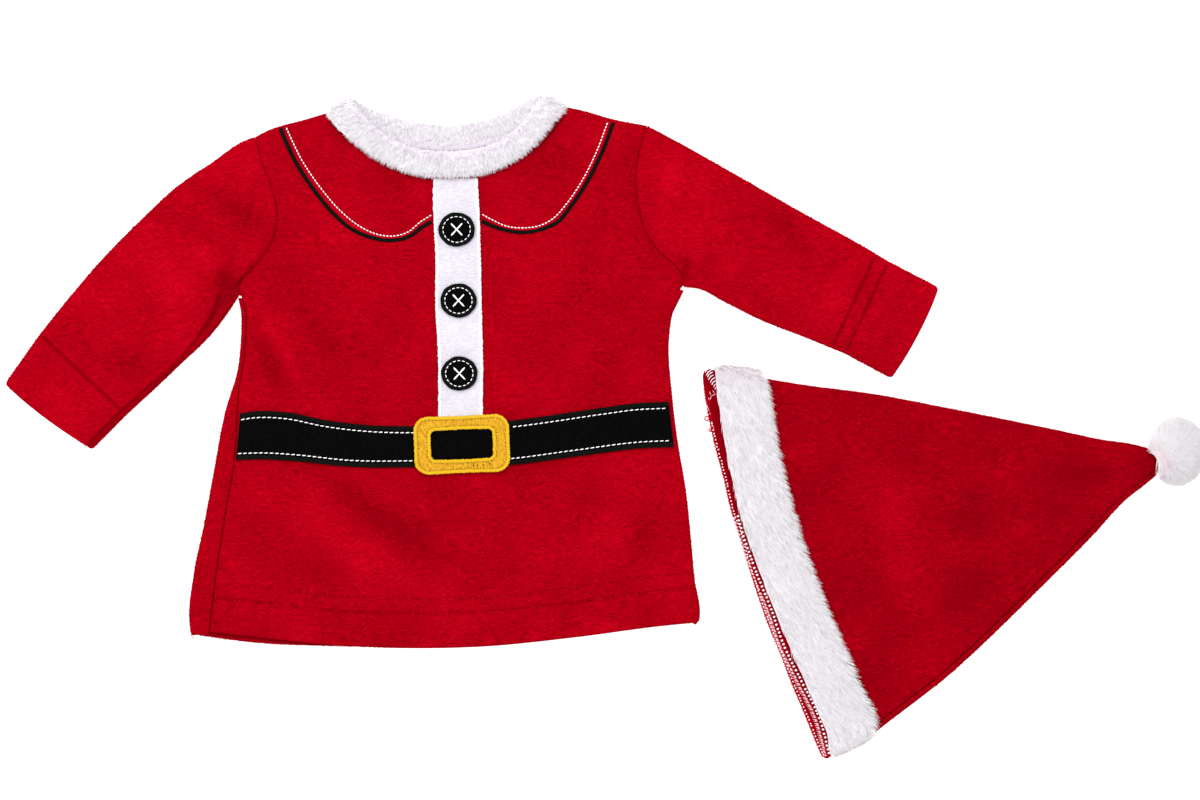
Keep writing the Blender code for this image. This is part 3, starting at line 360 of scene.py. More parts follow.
def body_rows(hem, top, left, right, shares, turned, above):
    """Plan grid of a body panel. A point is a share of the way from the left line to the right one, and a share
    from the hem to its stitching or from that stitching to the top line; the two are solved together."""
    stitch = joined(HEM_STITCH)
    count = len(turned)
    x = np.zeros((count + len(above), len(shares)))
    y = np.linspace(-120, 165, len(x))[:, None] + x
    for _ in range(25):
        x = read(left, y, 1) + shares * (read(right, y, 1) - read(left, y, 1))
        hem_y, stitch_y, top_y = read(hem, x, 0), read(stitch, x, 0), read(top, x, 0)
        low = hem_y[:count] + turned[:, None] * (stitch_y - hem_y)[:count]
        high = stitch_y[count:] + above[:, None] * (top_y - stitch_y)[count:]
        y = np.vstack([low, high])
    return x, y


def fold_round(centre, out, start, end, steps):
    """Points and normals round a folded edge: a half circle over the fold's plan line, from 0 degrees, below
    the centre, to 180, above it."""
    angles = np.radians(np.linspace(start, end, steps))
    sideways = np.sin(angles)[None, :, None] * out[:, None]
    upwards = np.broadcast_to(-np.cos(angles), sideways.shape[:2])
    points = np.dstack([centre[:, None] + FOLD * sideways, UNDER + FOLD + FOLD * upwards])
    return points, np.dstack([sideways, upwards])


def body_sides():
    """The lines that the body panels run between: the back's fold, the front's seam beside it, and the right
    side, where the front rolls over. Above the underarm all of them are the armholes."""
    fold, seam, roll = (joined(rows) for rows in (LEFT_FOLD, LEFT_SEAM, RIGHT_ROLL))
    fold_out, roll_out = -leaning(fold), leaning(roll)
    fold_centre, roll_centre = fold - EDGE * fold_out, roll - EDGE * roll_out
    seam[:, 0] = np.maximum(seam[:, 0], read(fold_centre, seam[:, 1], 1) + WRAP_LEAST + GAP)
    left_armhole, right_armhole = joined(LEFT_ARMHOLE), joined(RIGHT_ARMHOLE)
    return {
        "fold": np.vstack([fold_centre[fold_centre[:, 1] < UNDERARM], left_armhole]),
        "fold_out": (fold, fold_out),
        "seam": np.vstack([seam, left_armhole]),
        "roll": np.vstack([roll_centre[roll_centre[:, 1] < UNDERARM], right_armhole]),
        "roll_out": (roll, roll_out),
    }


def normals_at(line_and_normals, y):
    """The unit normals of a side line at these heights."""
    line, normals = line_and_normals
    return unit(at_run(y, line[:, 1], normals))


sides = body_sides()
front_hem, front_top = joined(FRONT_HEM), joined(LEFT_SHOULDER, FRONT_NECK, RIGHT_SHOULDER)
hem_stitch = joined(HEM_STITCH)


def front_middle(x, y):
    """Height of the middle of the front: low at its edges, puffed inside, with the hem's doubled cloth, its two
    grooves and the folds."""
    across = np.minimum(x - read(sides["seam"], y, 1), read(sides["roll"], y, 1) - x)
    hem_y, stitch_y, top_y = read(front_hem, x, 0), read(hem_stitch, x, 0), read(front_top, x, 0)
    row_share = (y - hem_y) / (stitch_y - hem_y)
    inside = rounded(across, PUFF_SIDE) * rounded(top_y - y, PUFF_NECK)
    above_hem = eased(row_share - 1)
    hem = HEM_STEP * (1 - eased((row_share - 1) * HEM_DEPTH / 3.6)) * rounded(across, HEM_SIDE)
    lines = sum(groove((row_share - at) * HEM_DEPTH) for at in HEM_ROWS) * rounded(across, HEM_SIDE)
    soft = folds(x, y, BODY_FOLDS) * inside * (0.3 + 0.7 * above_hem)
    return OVER + np.maximum(PUFF * inside * above_hem + soft, 0) + hem + lines


def noise(tree, place, scale, detail, distortion=0.0):
    return add_node(
        tree, "TexNoise", {"Vector": place, "Scale": scale, "Detail": detail, "Distortion": distortion}
    ).outputs["Fac"]


def times(tree, value, factor, plus):
    """The value times a factor, plus something."""
    return add_node(tree, "Math", {0: value, 1: factor, 2: plus}, operation="MULTIPLY_ADD").outputs[0]


def toned(tree, tone, *stops):
    """A colour from a tone: a ramp with a place and a colour for each of its stops."""
    ramp = add_node(tree, "ValToRGB", {"Fac": tone})
    made = ramp.color_ramp.elements
    for element, (place, colour) in zip(list(made), (stops[0], stops[-1])):
        element.position, element.color = place, linear(colour)
    for place, colour in stops[1:-1]:
        made.new(place).color = linear(colour)
    return ramp.outputs["Color"]


def dressed(tree, shader, colour, height, depth, strength):
    """Gives a shader its colour, and a relief of this depth in millimetres."""
    bump = add_node(tree, "Bump", {"Height": height, "Distance": depth * MM, "Strength": strength})
    tree.links.new(colour, shader.inputs["Base Color"])
    tree.links.new(bump.outputs["Normal"], shader.inputs["Normal"])


def pile(name, dark, body, bright, sheen):
    """Velour pile: streaks of fibre ends that swirl, because a slow noise bends the coordinates of a stretched
    fast one, over soft patches where the pile lies the other way. An attribute makes it darker and brighter in
    places: the pile's lie, and painted shading, darker in troughs, grooves and shaded places and brighter on
    ridges and edges."""
    material, tree, shader = finish_of(
        name, Roughness=0.9, Sheen_Weight=sheen[0], Sheen_Roughness=0.4, Sheen_Tint=linear(sheen[1]),
        Specular_IOR_Level=0.0,
    )
    place = add_node(tree, "TexCoord").outputs["Object"]
    slow = add_node(tree, "TexNoise", {"Vector": place, "Scale": 1000 / SWIRL_SIZE, "Detail": 2.0})
    turned = add_node(tree, "VectorMath", {0: slow.outputs["Color"], 1: (0.5, 0.5, 0.5)}, operation="SUBTRACT")
    bend = add_node(tree, "VectorMath", {0: turned.outputs[0], "Scale": SWIRL_BEND * MM}, operation="SCALE")
    bent = add_node(tree, "VectorMath", {0: place, 1: bend.outputs[0]}, operation="ADD")
    size = (1000 / STREAK[1], 1000 / STREAK[0], 1000 / STREAK[1])
    drawn = add_node(tree, "Mapping", {"Vector": bent.outputs[0], "Scale": size})
    streak = noise(tree, drawn.outputs[0], 1.0, 3.0)
    fine, patch = noise(tree, place, 1500.0, 1.0), noise(tree, place, 30.0, 3.0)
    # Painted shading, with the pile's lie: each cloth piece carries it as an attribute.
    nap = add_node(tree, "Attribute", attribute_name="nap").outputs["Fac"]
    tone = times(tree, streak, 1.6, -0.96)
    for layer, share in ((fine, 0.5), (patch, 0.7), (nap, 0.3)):
        tone = times(tree, layer, share, tone)
    colour = toned(tree, tone, (0.05, dark), (0.5, body), (0.95, bright))
    dressed(tree, shader, colour, times(tree, fine, 0.4, streak), 0.8, 0.8)
    return material


red_plush = pile("red_velour_pile", PLUSH_DARK, PLUSH_RED, PLUSH_BRIGHT, (0.3, "#ff0a24"))
hem_turned = np.concatenate([
    [0, 0.005, 0.012, 0.022, 0.035, 0.05], np.linspace(0.08, 0.62, 9), np.linspace(0.65, 0.75, 9),
    np.linspace(0.78, 0.94, 5), np.linspace(0.96, 0.99, 3),
])
rise = np.concatenate([
    np.linspace(0, 0.014, 5), np.linspace(0.02, 0.985, 92),
    1 - 0.012 * np.array([0.75, 0.5, 0.3, 0.15, 0.06, 0]),
])
shares = close_shares(114, 0.03)
front_x, front_y = body_rows(front_hem, front_top, sides["seam"], sides["roll"], shares, hem_turned, rise)
to_hem = front_y - read(front_hem, front_x, 0)
to_top = read(front_top, front_x, 0) - front_y
across = np.minimum(front_x - front_x[:, :1], front_x[:, -1:] - front_x)
armhole_rows = front_y[:, :1] > ARMHOLE_FOOT
free = np.where(armhole_rows, np.minimum(across, to_top), np.minimum(front_x - front_x[:, :1], to_hem))
main = stacked(front_x, front_y, front_middle(front_x, front_y))
out = normals_at(sides["roll_out"], front_y[:, -1])
roll, roll_normals = fold_round(main[:, -1, :2], out, 165, 90, ROLL_STEPS)
foot = roll[:, -1:].copy()
foot[:, :, 2] = FOOT
points = np.concatenate([main, roll, foot], axis=1)
normals = np.concatenate([upright(main), roll_normals, roll_normals[:, -1:]], axis=1)
# Painted shading: the folds' troughs and the hem's two grooves darker, the ridges brighter.
hem_shares = to_hem / (read(hem_stitch, front_x, 0) - read(front_hem, front_x, 0))
in_grooves = sum(groove((hem_shares - at) * HEM_DEPTH) for at in HEM_ROWS)
nap = folds(front_x, front_y, BODY_FOLDS) / BODY_PAINTED_SHADING[0] + BODY_PAINTED_SHADING[1] * in_grooves
half, nap = (
    np.hstack([values, values[:, -1:].repeat(ROLL_STEPS + 1, axis=1)]) for values in (half_thick(free), nap)
)
present = np.ones((points.shape[0] - 1, points.shape[1] - 1), bool)
present[armhole_rows[1:, 0], main.shape[1] - 1 :] = False
front = cloth("front_panel_plush", points, normals, half, red_plush, nap, present)
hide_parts("front_panel")

# Back panel
# The back of the same plush lies on the table. On the left it folds over, and the strip that comes round is
# sewn to the front; below, its hem shows a little past the front's.
HEM_SHADE, HEM_SHADE_WIDTH = -2.6, 0.9  # painted shadow of the front's hem: how much darker the pile is painted below it, and how far down
back_hem, back_top = joined(BACK_HEM), joined(LEFT_SHOULDER, BACK_NECK, RIGHT_SHOULDER)
shares = close_shares(60, 0.03)
turned = np.array([0, 0.01, 0.02, 0.035, 0.05, 0.07, 0.1, 0.2, 0.45, 0.7, 0.9])
rise = np.concatenate([np.linspace(0, 0.98, 56), [0.99, 0.996, 1.0]])
x, y = body_rows(back_hem, back_top, sides["fold"], sides["roll"], shares, turned, rise)
armhole_rows = y[:, 0] > ARMHOLE_FOOT
x[~armhole_rows] -= GAP / 2 * shares
main = stacked(x, y, UNDER)
out = normals_at(sides["fold_out"], y[:, 0])
wrap, wrap_normals = fold_round(main[:, 0, :2], out, 180, 15, WRAP_STEPS)
strip_share = np.array([1.0, 0.93, 0.85, 0.7, 0.35])
seam_x = read(sides["seam"], y[:, 0], 1) - GAP
strip = wrap[:, :1].repeat(len(strip_share), axis=1)
strip[:, :, 0] += strip_share * (seam_x - wrap[:, 0, 0])[:, None]
free = np.hstack([seam_x[:, None] - strip[:, :, 0], np.full((len(y), WRAP_STEPS + len(shares)), np.inf)])
round_side = len(strip_share) + WRAP_STEPS
hem_y = np.hstack([y[:1, :1].repeat(round_side, axis=1), read(back_hem, x[:1], 0)])
to_hem = np.hstack([y[:, :1].repeat(round_side, axis=1), y]) - hem_y
half = half_thick(np.minimum(free, to_hem))
points = np.concatenate([strip, wrap, main], axis=1)
normals = np.concatenate([upright(strip), wrap_normals, -upright(main)], axis=1)
present = np.ones((points.shape[0] - 1, points.shape[1] - 1), bool)
present[armhole_rows[1:], :round_side] = False
below_front = points[:, :, 1] - read(front_hem, points[:, :, 0], 0)
nap = HEM_SHADE * np.exp(-(((below_front + 0.4) / HEM_SHADE_WIDTH) ** 2))
nap *= points[:, :, 0] > sides["seam"][0, 0]
back = cloth("back_panel_plush", points, normals, half, red_plush, nap, present)
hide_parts("back_panel")

# Sleeves
# Each sleeve is one piece of plush sewn into a tube and laid flat, with a turned cuff. The left one's underarm
# seam has rolled up onto the top side, and the right cuff is pinched by two rows of stitching.
LEFT_SLEEVE = {
    "top": (
        (-196.3, 163.1), (-201.6, 161.3), (-220.1, 149.0), (-238.8, 136.3), (-260.4, 116.5), (-281.7, 94.9),
        (-300.2, 73.4), (-316.9, 52.6),
    ),
    "low": ((-204.9, 74.6), (-210.2, 66.3), (-220.2, 53.0), (-238.8, 34.9), (-253.1, 21.3), (-268.2, 7.4)),
    "end": ((-336.8, 24.4), (-288.0, -12.6)),
    "folds": (
        (-208.0, 124.0, 18.0, 6.5, -1.5, -29.0),
        (-240.8, 82.9, 22.0, 13.0, 1.1, -63.0),
        (-270.5, 36.0, 16.0, 8.0, -1.0, -5.0),
        (-212.0, 81.5, 10.0, 5.5, -3.0, -40.0),
        (-221.0, 90.0, 13.0, 4.5, 1.6, -52.0),
    ),
    "seam": (
        (-289.5, -9.0), (-281.4, -1.0), (-270.7, 9.4), (-260.4, 18.8), (-249.2, 28.3), (-238.0, 38.8),
        (-228.5, 50.4), (-223.4, 57.7), (-219.0, 65.0), (-215.8, 74.5),
    ),
}
RIGHT_SLEEVE = {
    "top": ((23.8, 169.3), (34.7, 163.6), (75.9, 140.6), (109.8, 121.2), (147.3, 100.4), (158.9, 93.4)),
    "low": ((44.2, 79.1), (52.1, 78.1), (67.2, 70.6), (84.6, 61.8), (115.9, 49.3), (134.6, 41.6)),
    "end": ((187.6, 78.6), (160.9, 27.6)),
    "folds": (
        (102.5, 110.9, 15.0, 8.0, -1.4, -49.0),
        (37.0, 140.0, 20.0, 6.0, 1.2, 80.0),
        (130.0, 78.0, 20.0, 8.0, 1.0, 60.0),
        (45.0, 89.0, 8.0, 2.4, -2.4, 86.0),
        (57.0, 92.0, 12.0, 6.0, -0.9, 60.0),
    ),
    "seam": (),
}
CUFF_PIPE, CUFF_CORNER, CUFF_BULGE = 8.0, 2.6, 1.0
SLEEVE_PUFF, SLEEVE_RISE = 3.2, 16.0
CUFF_FLATTER, CUFF_RISE = 0.35, 8.0
ARMHOLE_FADE = 0.75  # share of the length over which the armhole's curve fades out
HOLE_SHARES = np.concatenate([np.linspace(0, 0.12, 24), np.linspace(0.14, 1, 42)])
HOLE_TRIM = 40  # points of the armhole nearer to its ends than this, along its chord, are left out
TUBE_FOLD = (15, 165), 9  # degrees round a tube's fold, and stations there
SLEEVE_SEAM_DIP = (1.3, 1.1)  # the rolled seam's depth and width, as shares of a groove's
EDGE_RISE, EDGE_SHARE = 0.5, 0.3  # the tube's top side stands this much higher inside this share of its width
SEWN = 0.1  # the sleeve's edge goes this far under the body's, where they are sewn together
SEAM_STEP = 1.5  # the front of the left sleeve ends this far above the strip beyond its seam
SLEEVE_PAINTED_LIGHT = 0.35  # painted light: the sleeves' pile is painted a little brighter than the body's, as though it lay more towards the light
SEAM_PAINTED_SHADE, STRIP_PAINTED_SHADE = -2.8, -1.1  # painted shade: the rolled seam is painted as a dark line, and the strip beyond it darker for the shade it lies in
SLEEVE_STATIONS = np.concatenate([
    [0, 0.002, 0.006, 0.012, 0.022], np.linspace(0.035, 0.9, 46), np.linspace(0.908, 1.0, 22)[:-1], [1.0],
])
CUFF_STATIONS = np.concatenate([
    np.linspace(0.02, 0.25, 9), np.linspace(0.3, 0.93, 12), [0.95, 0.97, 0.985, 0.994, 1.0],
])


def past(x, y, line):
    """Distance of each place from a fine line, above zero to the right of it and below zero to its left."""
    found, signed = np.full(x.shape, 1e9), np.zeros(x.shape)
    for (px, py), (right_x, right_y) in zip(line, leaning(line)):
        distance = np.hypot(x - px, y - py)
        nearer = distance < found
        side = np.where((x - px) * right_x + (y - py) * right_y > 0, 1, -1)
        found, signed = np.where(nearer, distance, found), np.where(nearer, distance * side, signed)
    return signed


def sleeve(name, rows, armhole, turn, pipe):
    """A flat tube: stations run from the armhole to the cuff's end, and each goes over the top, round the lower
    fold, back underneath and round the upper fold."""
    arms = (along(rows[side], SLEEVE_STATIONS) for side in ("top", "low"))
    top, low = (
        np.vstack([arm, arm[-1] + CUFF_STATIONS[:, None] * (corner - arm[-1])])
        for arm, corner in zip(arms, rows["end"])
    )
    seam_row = len(SLEEVE_STATIONS) - 1
    top_out, low_out = turn * leaning(top), -turn * leaning(low)
    to_end = np.linalg.norm(top[-1] - top, axis=1)
    corner = CUFF_CORNER - np.sqrt(CUFF_CORNER**2 - np.clip(CUFF_CORNER - to_end, 0, CUFF_CORNER) ** 2)
    inset = (EDGE + corner)[:, None]
    top_in, low_in = top - inset * top_out, low - inset * low_out
    hole = along(armhole, HOLE_SHARES)[::-1]
    hole -= turn * SEWN * leaning(hole)
    for end, outwards in ((0, top_out), (-1, low_out)):
        outwards[0] = unit(hole[end] - hole[3 if end == 0 else -4])
        hole[end] -= EDGE * outwards[0]
    inside = (hole - hole[0]) @ (hole[-1] - hole[0])
    kept = (inside > inside[0] + HOLE_TRIM) & (inside < inside[-1] - HOLE_TRIM)
    kept[[0, -1]] = True
    hole = hole[kept]
    top_in[0], low_in[0] = hole[0], hole[-1]
    run = run_of(hole)
    spread = run / run[-1]
    part = spread[:, None]
    fade = (1 - eased(np.linspace(0, 1, len(top)) / ARMHOLE_FADE))[:, None, None]
    bend = hole - hole[0] - part * (hole[-1] - hole[0])
    plan = top_in[:, None] * (1 - part) + low_in[:, None] * part + fade * bend
    bulge = CUFF_BULGE * 4 * (part * (1 - part)) ** 0.8 * unit(plan[-1] - plan[seam_row])
    plan[seam_row + 1 :] += CUFF_STATIONS[:, None, None] ** 2 * bulge[None]
    x, y = plan[:, :, 0], plan[:, :, 1]
    from_seam = np.linalg.norm(plan - plan[seam_row], axis=2)
    from_seam[:seam_row] *= -1
    from_hole = np.linalg.norm(plan - plan[0], axis=2)
    middle = 1 - np.abs(2 * spread - 1) ** 3
    flatter = 1 - CUFF_FLATTER * eased(from_seam / CUFF_RISE + 1)
    lift = SLEEVE_PUFF * middle * rounded(from_hole, SLEEVE_RISE) * flatter
    soft = folds(x, y, rows["folds"])
    lines = groove(from_seam) + (groove(from_seam + CUFF_PIPE) if pipe else 0)
    dip = 0
    if rows["seam"]:
        seam = along(rows["seam"], np.linspace(0, 1, 400))
        beyond = past(x, y, seam)
        dip = SLEEVE_SEAM_DIP[0] * groove(beyond / SLEEVE_SEAM_DIP[1])
        lift = lift - SEAM_STEP * eased((beyond + 0.4) / 1.2) * rounded(from_hole, 20)
    raised = (EDGE_RISE + lines + dip) * rounded(middle, EDGE_SHARE)
    height = OVER + np.maximum(lift + soft * middle, 0) + raised
    below = np.unique(np.append(np.arange(0, len(spread), 3), len(spread) - 1))
    upper, under = stacked(x, y, height), stacked(x, y, UNDER)[:, below[::-1]]
    (start, end), steps = TUBE_FOLD
    low_fold, low_normals = fold_round(low_in, low_out, end, start, steps)
    top_fold, top_normals = fold_round(top_in, top_out, start, end, steps)
    points = np.concatenate([upper, low_fold, under, top_fold], axis=1)
    normals = np.concatenate([upright(upper), low_normals, -upright(under), top_normals], axis=1)
    free = np.minimum(np.linalg.norm(points - points[:1], axis=2), np.linalg.norm(points - points[-1:], axis=2))
    # Painted shading: troughs and the cuff grooves darker, ridges brighter, and on the left sleeve painted shade
    # along the rolled seam and the strip beyond it.
    nap = np.full(points.shape[:2], SLEEVE_PAINTED_LIGHT)
    nap[:, : x.shape[1]] += soft / 1.3 + 2.4 * lines
    if rows["seam"]:
        beyond = past(points[:, :, 0], points[:, :, 1], seam)
        shade = SEAM_PAINTED_SHADE * np.exp(-((beyond / 0.8) ** 2)) + STRIP_PAINTED_SHADE * eased(beyond)
        below_end = eased((rows["seam"][-1][1] + 2 - points[:, :, 1]) / 3)
        nap += np.where(normals[:, :, 2] > -0.1, shade, 0) * below_end
    return cloth(name, points, normals, half_thick(free), red_plush, nap, closed=True)


def disc_grid(centre, radii, hole, rings, around):
    """Plan grid of a disc: rings from a small hole outwards, closed all round."""
    reach, angle = np.linspace(hole, 1, rings)[:, None], np.linspace(0, 2 * np.pi, around + 1)[:-1]
    return np.dstack([reach * np.cos(angle), reach * np.sin(angle)]) * radii + centre


def attach(slot, *pieces):
    """Attaches the pieces to the one body. The slot is not used."""
    for piece in pieces:
        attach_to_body(piece, "root")


left_sleeve = sleeve("left_sleeve_plush", LEFT_SLEEVE, LEFT_ARMHOLE, 1, False)
right_sleeve = sleeve("right_sleeve_plush", RIGHT_SLEEVE, RIGHT_ARMHOLE, -1, True)
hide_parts("sleeve_left")
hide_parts("sleeve_right")
# What is left of the seam allowance lies between the layers at each underarm and closes the corner; it is painted
# darker, for the shade between the layers.
ALLOWANCES = {"left": (-203.2, 77.2), "right": (41.0, 81.6)}
ALLOWANCE_REACH, ALLOWANCE_HEIGHT, ALLOWANCE_HALF = 3.4, 3.0, 0.5
allowances = []
for name, centre in ALLOWANCES.items():
    plan = disc_grid(centre, ALLOWANCE_REACH, 0.03, 6, 24)
    disc = stacked(plan[:, :, 0], plan[:, :, 1], ALLOWANCE_HEIGHT)
    scrap = cloth(f"allowance_{name}", disc, upright(disc), ALLOWANCE_HALF, red_plush, -1.0, closed=True)
    allowances.append(scrap)
attach("red_plush", front, back, left_sleeve, right_sleeve, *allowances)

# Pile along the edges
# Where the plush turns over at a fold, hem or cuff, its pile stands out against the table as a fuzz, painted
# bright for the light that shines through it.
FUZZ_SPACING, FUZZ_LENGTH, FUZZ_WIDTH = 0.13, (0.5, 1.15), 0.34
FUZZ_PAINTED_LIGHT = 2.4  # painted light: the single fibres are painted brighter, for the light that shines through them
# Heights between which it grows
SIDE_FUZZ, HEM_FUZZ, SHOULDER_FUZZ, CUFF_FUZZ = (0.5, 4.2), (0.4, 4.6), (2.4, 4.2), (0.5, 4.4)
draw = np.random.default_rng(11)


def fuzz(name, line, turn, low, high):
    """Fine spikes of pile along an outline, leaning outwards: four points and four faces each. They are shaded
    like the cloth's rounded edge."""
    run = run_of(line)
    count = int(run[-1] / FUZZ_SPACING)
    at = draw.uniform(0, run[-1], count)
    plan, out = at_run(at, run, line), turn * at_run(at, run, leaning(line))
    height = draw.uniform(0, 1, count)
    bulge = np.sin(np.pi * height) * 0.5 - 0.75
    roots = np.column_stack([plan + bulge[:, None] * out, low + height * (high - low)])
    ways = np.column_stack([out, 1.4 * (height - 0.45)]) + draw.normal(0, 0.35, (count, 3))
    ways *= (draw.uniform(*FUZZ_LENGTH, count) / np.linalg.norm(ways, axis=1))[:, None]
    along_line = np.column_stack([-out[:, 1], out[:, 0], np.zeros(count)]) * FUZZ_WIDTH / 2
    up = np.array([0, 0, FUZZ_WIDTH * 0.8])
    points = np.stack([roots - along_line, roots + along_line, roots + up, roots + ways], axis=1)
    points[:, :, 2] = np.maximum(points[:, :, 2], 0.05)
    shape = np.array([(1, 3, 0), (2, 3, 1), (0, 3, 2), (2, 1, 0)])
    faces = (np.arange(count)[:, None, None] * 4 + shape).reshape(-1, 3)
    made = mesh_piece(name, points.reshape(-1, 3), faces, red_plush, nap=np.full(count * 4, FUZZ_PAINTED_LIGHT))
    facing = np.column_stack([0.5 * out, np.full(count, 0.87)])
    made.data.normals_split_custom_set_from_vertices(facing.repeat(4, axis=0))
    return made


left_edge = joined(LEFT_FOLD)
left_edge = left_edge[left_edge[:, 1] < UNDERARM + 4]
edges = [
    fuzz("fuzz_left", left_edge, -1, *SIDE_FUZZ),
    fuzz("fuzz_right", joined(RIGHT_ROLL), 1, *SIDE_FUZZ),
    fuzz("fuzz_hem", joined(BACK_HEM)[3:-3], 1, *HEM_FUZZ),
    fuzz("fuzz_shoulder_left", joined(LEFT_SHOULDER), -1, *SHOULDER_FUZZ),
    fuzz("fuzz_shoulder_right", joined(RIGHT_SHOULDER), -1, *SHOULDER_FUZZ),
]
for name, rows, turn in (("left", LEFT_SLEEVE, 1), ("right", RIGHT_SLEEVE, -1)):
    for side, corner, way in (("top", rows["end"][0], turn), ("low", rows["end"][1], -turn)):
        line = np.vstack([joined(rows[side]), joined((rows[side][-1], corner))[:-15]])
        edges.append(fuzz(f"fuzz_{name}_sleeve_{side}", line, way, *SIDE_FUZZ))
    edges.append(fuzz(f"fuzz_{name}_cuff", joined(rows["end"])[9:-9], turn, *CUFF_FUZZ))
attach("red_plush", *edges)

# Neck trim
# A band of white faux fur sewn round the neck. Its front half lies over the back half, whose inside shows
# above it, and its short pile grows across the band, towards the cloth.
NECK_RING = (
    (-88.0, 147.6, 6.2, 7.3, 3.5, -90.0),
    (-106.0, 149.4, 6.3, 7.1, 3.5, -105.0),
    (-123.7, 156.8, 6.9, 7.2, 3.4, -125.0),
    (-136.5, 166.2, 8.2, 7.2, 3.2, -136.0),
    (-143.6, 174.0, 8.6, 7.6, 3.0, -143.0),
    (-147.0, 178.2, 7.2, 8.0, 2.6, -141.0),
    (-148.0, 179.7, 5.6, 8.2, 2.5, -141.0),
    (-146.8, 178.8, 4.0, 8.2, 2.4, -137.0),
    (-142.6, 176.5, 2.8, 7.6, 2.5, -128.0),
    (-132.6, 171.6, 2.8, 7.6, 2.5, -114.0),
    (-118.6, 166.8, 3.0, 7.6, 2.8, -101.0),
    (-104.0, 163.6, 3.2, 7.6, 3.0, -93.0),
    (-85.0, 162.4, 3.3, 7.6, 3.1, -90.0),
    (-68.0, 164.9, 3.2, 7.6, 3.0, -82.0),
    (-54.0, 169.2, 3.0, 7.6, 2.8, -70.0),
    (-41.6, 176.2, 2.8, 7.6, 2.5, -58.0),
    (-32.6, 180.6, 2.8, 7.2, 2.5, -48.0),
    (-29.3, 181.6, 4.0, 7.4, 2.4, -36.0),
    (-28.2, 181.6, 5.6, 7.0, 2.5, -31.0),
    (-29.3, 180.3, 7.2, 7.0, 2.6, -32.0),
    (-32.8, 177.0, 8.6, 7.2, 3.0, -34.0),
    (-38.2, 170.0, 8.2, 7.0, 3.2, -40.0),
    (-48.4, 159.8, 7.0, 7.0, 3.4, -54.0),
    (-60.0, 152.9, 6.4, 7.0, 3.5, -66.0),
    (-72.4, 148.6, 6.2, 7.2, 3.5, -80.0),
)
RING_POWERS = (0.75, 0.6)  # how full a fur ring's section is, across and upwards
RING_STATIONS, PATH_STEP = (220, 28), 0.004
# The fur's lightest tone, its darkest, and the painted reflection of the red plush.
FUR_WHITE, FUR_SHADE, FUR_RED_REFLECTION = "#fffbff", "#c4bac7", "#e8a0b4"
NECK_LOCKS, NECK_LENGTH = 15500, (3.0, 4.8)
GATHER = (-94.0, 4.0, 1.2)  # the back of the band is gathered here: its place, half width and pull
LOCK_WIDTH = 0.34
FIBRE_ROUND, FIBRE_UP = 0.45, 0.9  # shares of a lock's shading: its own roundness, and facing up


def faux_fur(name, shade, white):
    """Acrylic fur: matt fibres whose tone changes a little from lock to lock, painted darker at the roots for
    their shade and lighter at the tips, with a painted reflection of the red plush where it lies near them."""
    material, tree, shader = finish_of(
        name, Roughness=0.8, Sheen_Weight=0.3, Sheen_Roughness=0.5, Specular_IOR_Level=0.1,
        Subsurface_Weight=0.4, Subsurface_Radius=(1.0, 1.0, 1.0), Subsurface_Scale=1.2 * MM,
    )
    tone, near_red = (add_node(tree, "Attribute", attribute_name=it).outputs["Fac"] for it in ("tone", "blush"))
    colour = toned(tree, tone, (0.0, shade), (1.0, white))
    mixed = add_node(tree, "Mix", {0: near_red, 6: colour, 7: linear(FUR_RED_REFLECTION)}, data_type="RGBA")
    tree.links.new(mixed.outputs[2], shader.inputs["Base Color"])
    return material


def ring_surface(rows, s, a, slim):
    """Points, outward normals, the path's direction and the width's direction on a fur ring: a full flat section
    carried round a closed path. `s` is the share of the path and `a` the angle round the section, from the
    outer edge over the top. `slim` takes that many millimetres off its half width and half thickness."""
    path = along(rows, s, closed=True)
    centre, turn = path[:, :3], np.radians(path[:, 5])
    wide, thick = np.maximum(path[:, 3] - slim[0], 1), np.maximum(path[:, 4] - slim[1], 0.5)
    side = np.stack([np.cos(turn), np.sin(turn), 0 * turn], axis=1)
    before, after = (along(rows, (s + step) % 1, closed=True)[:, :3] for step in (-PATH_STEP, PATH_STEP))
    way = unit(after - before)
    up = unit(np.cross(side, way))
    cos, sin = np.cos(a), np.sin(a)
    out_wide = np.sign(cos) * np.abs(cos) ** RING_POWERS[0]
    out_thick = np.sign(sin) * np.abs(sin) ** RING_POWERS[1]
    points = centre + (wide * out_wide)[:, None] * side + (thick * out_thick)[:, None] * up
    points[:, 2] = np.maximum(points[:, 2], 0.25)
    normal = (cos / wide)[:, None] * side + (sin / thick)[:, None] * up
    return points, unit(normal), way, side


def ring_backing(name, rows, slim, material, tone=0.6):
    """The fur's knitted backing and dense under-pile: the ring as a closed surface inside the locks."""
    s, a = np.meshgrid(*(np.arange(count) / count for count in RING_STATIONS), indexing="ij")
    points = ring_surface(rows, s.ravel(), 2 * np.pi * a.ravel(), slim)[0]
    quads = grid_quads(*s.shape, True, True).reshape(-1, 4)
    middle = points.reshape(*s.shape, 3)
    corner = np.cross(middle[1, 7] - middle[0, 7], middle[0, 8] - middle[0, 7])
    if corner[2] > 0:
        quads = quads[:, ::-1]
    return mesh_piece(name, points, quads, material, tone=np.full(len(points), tone))


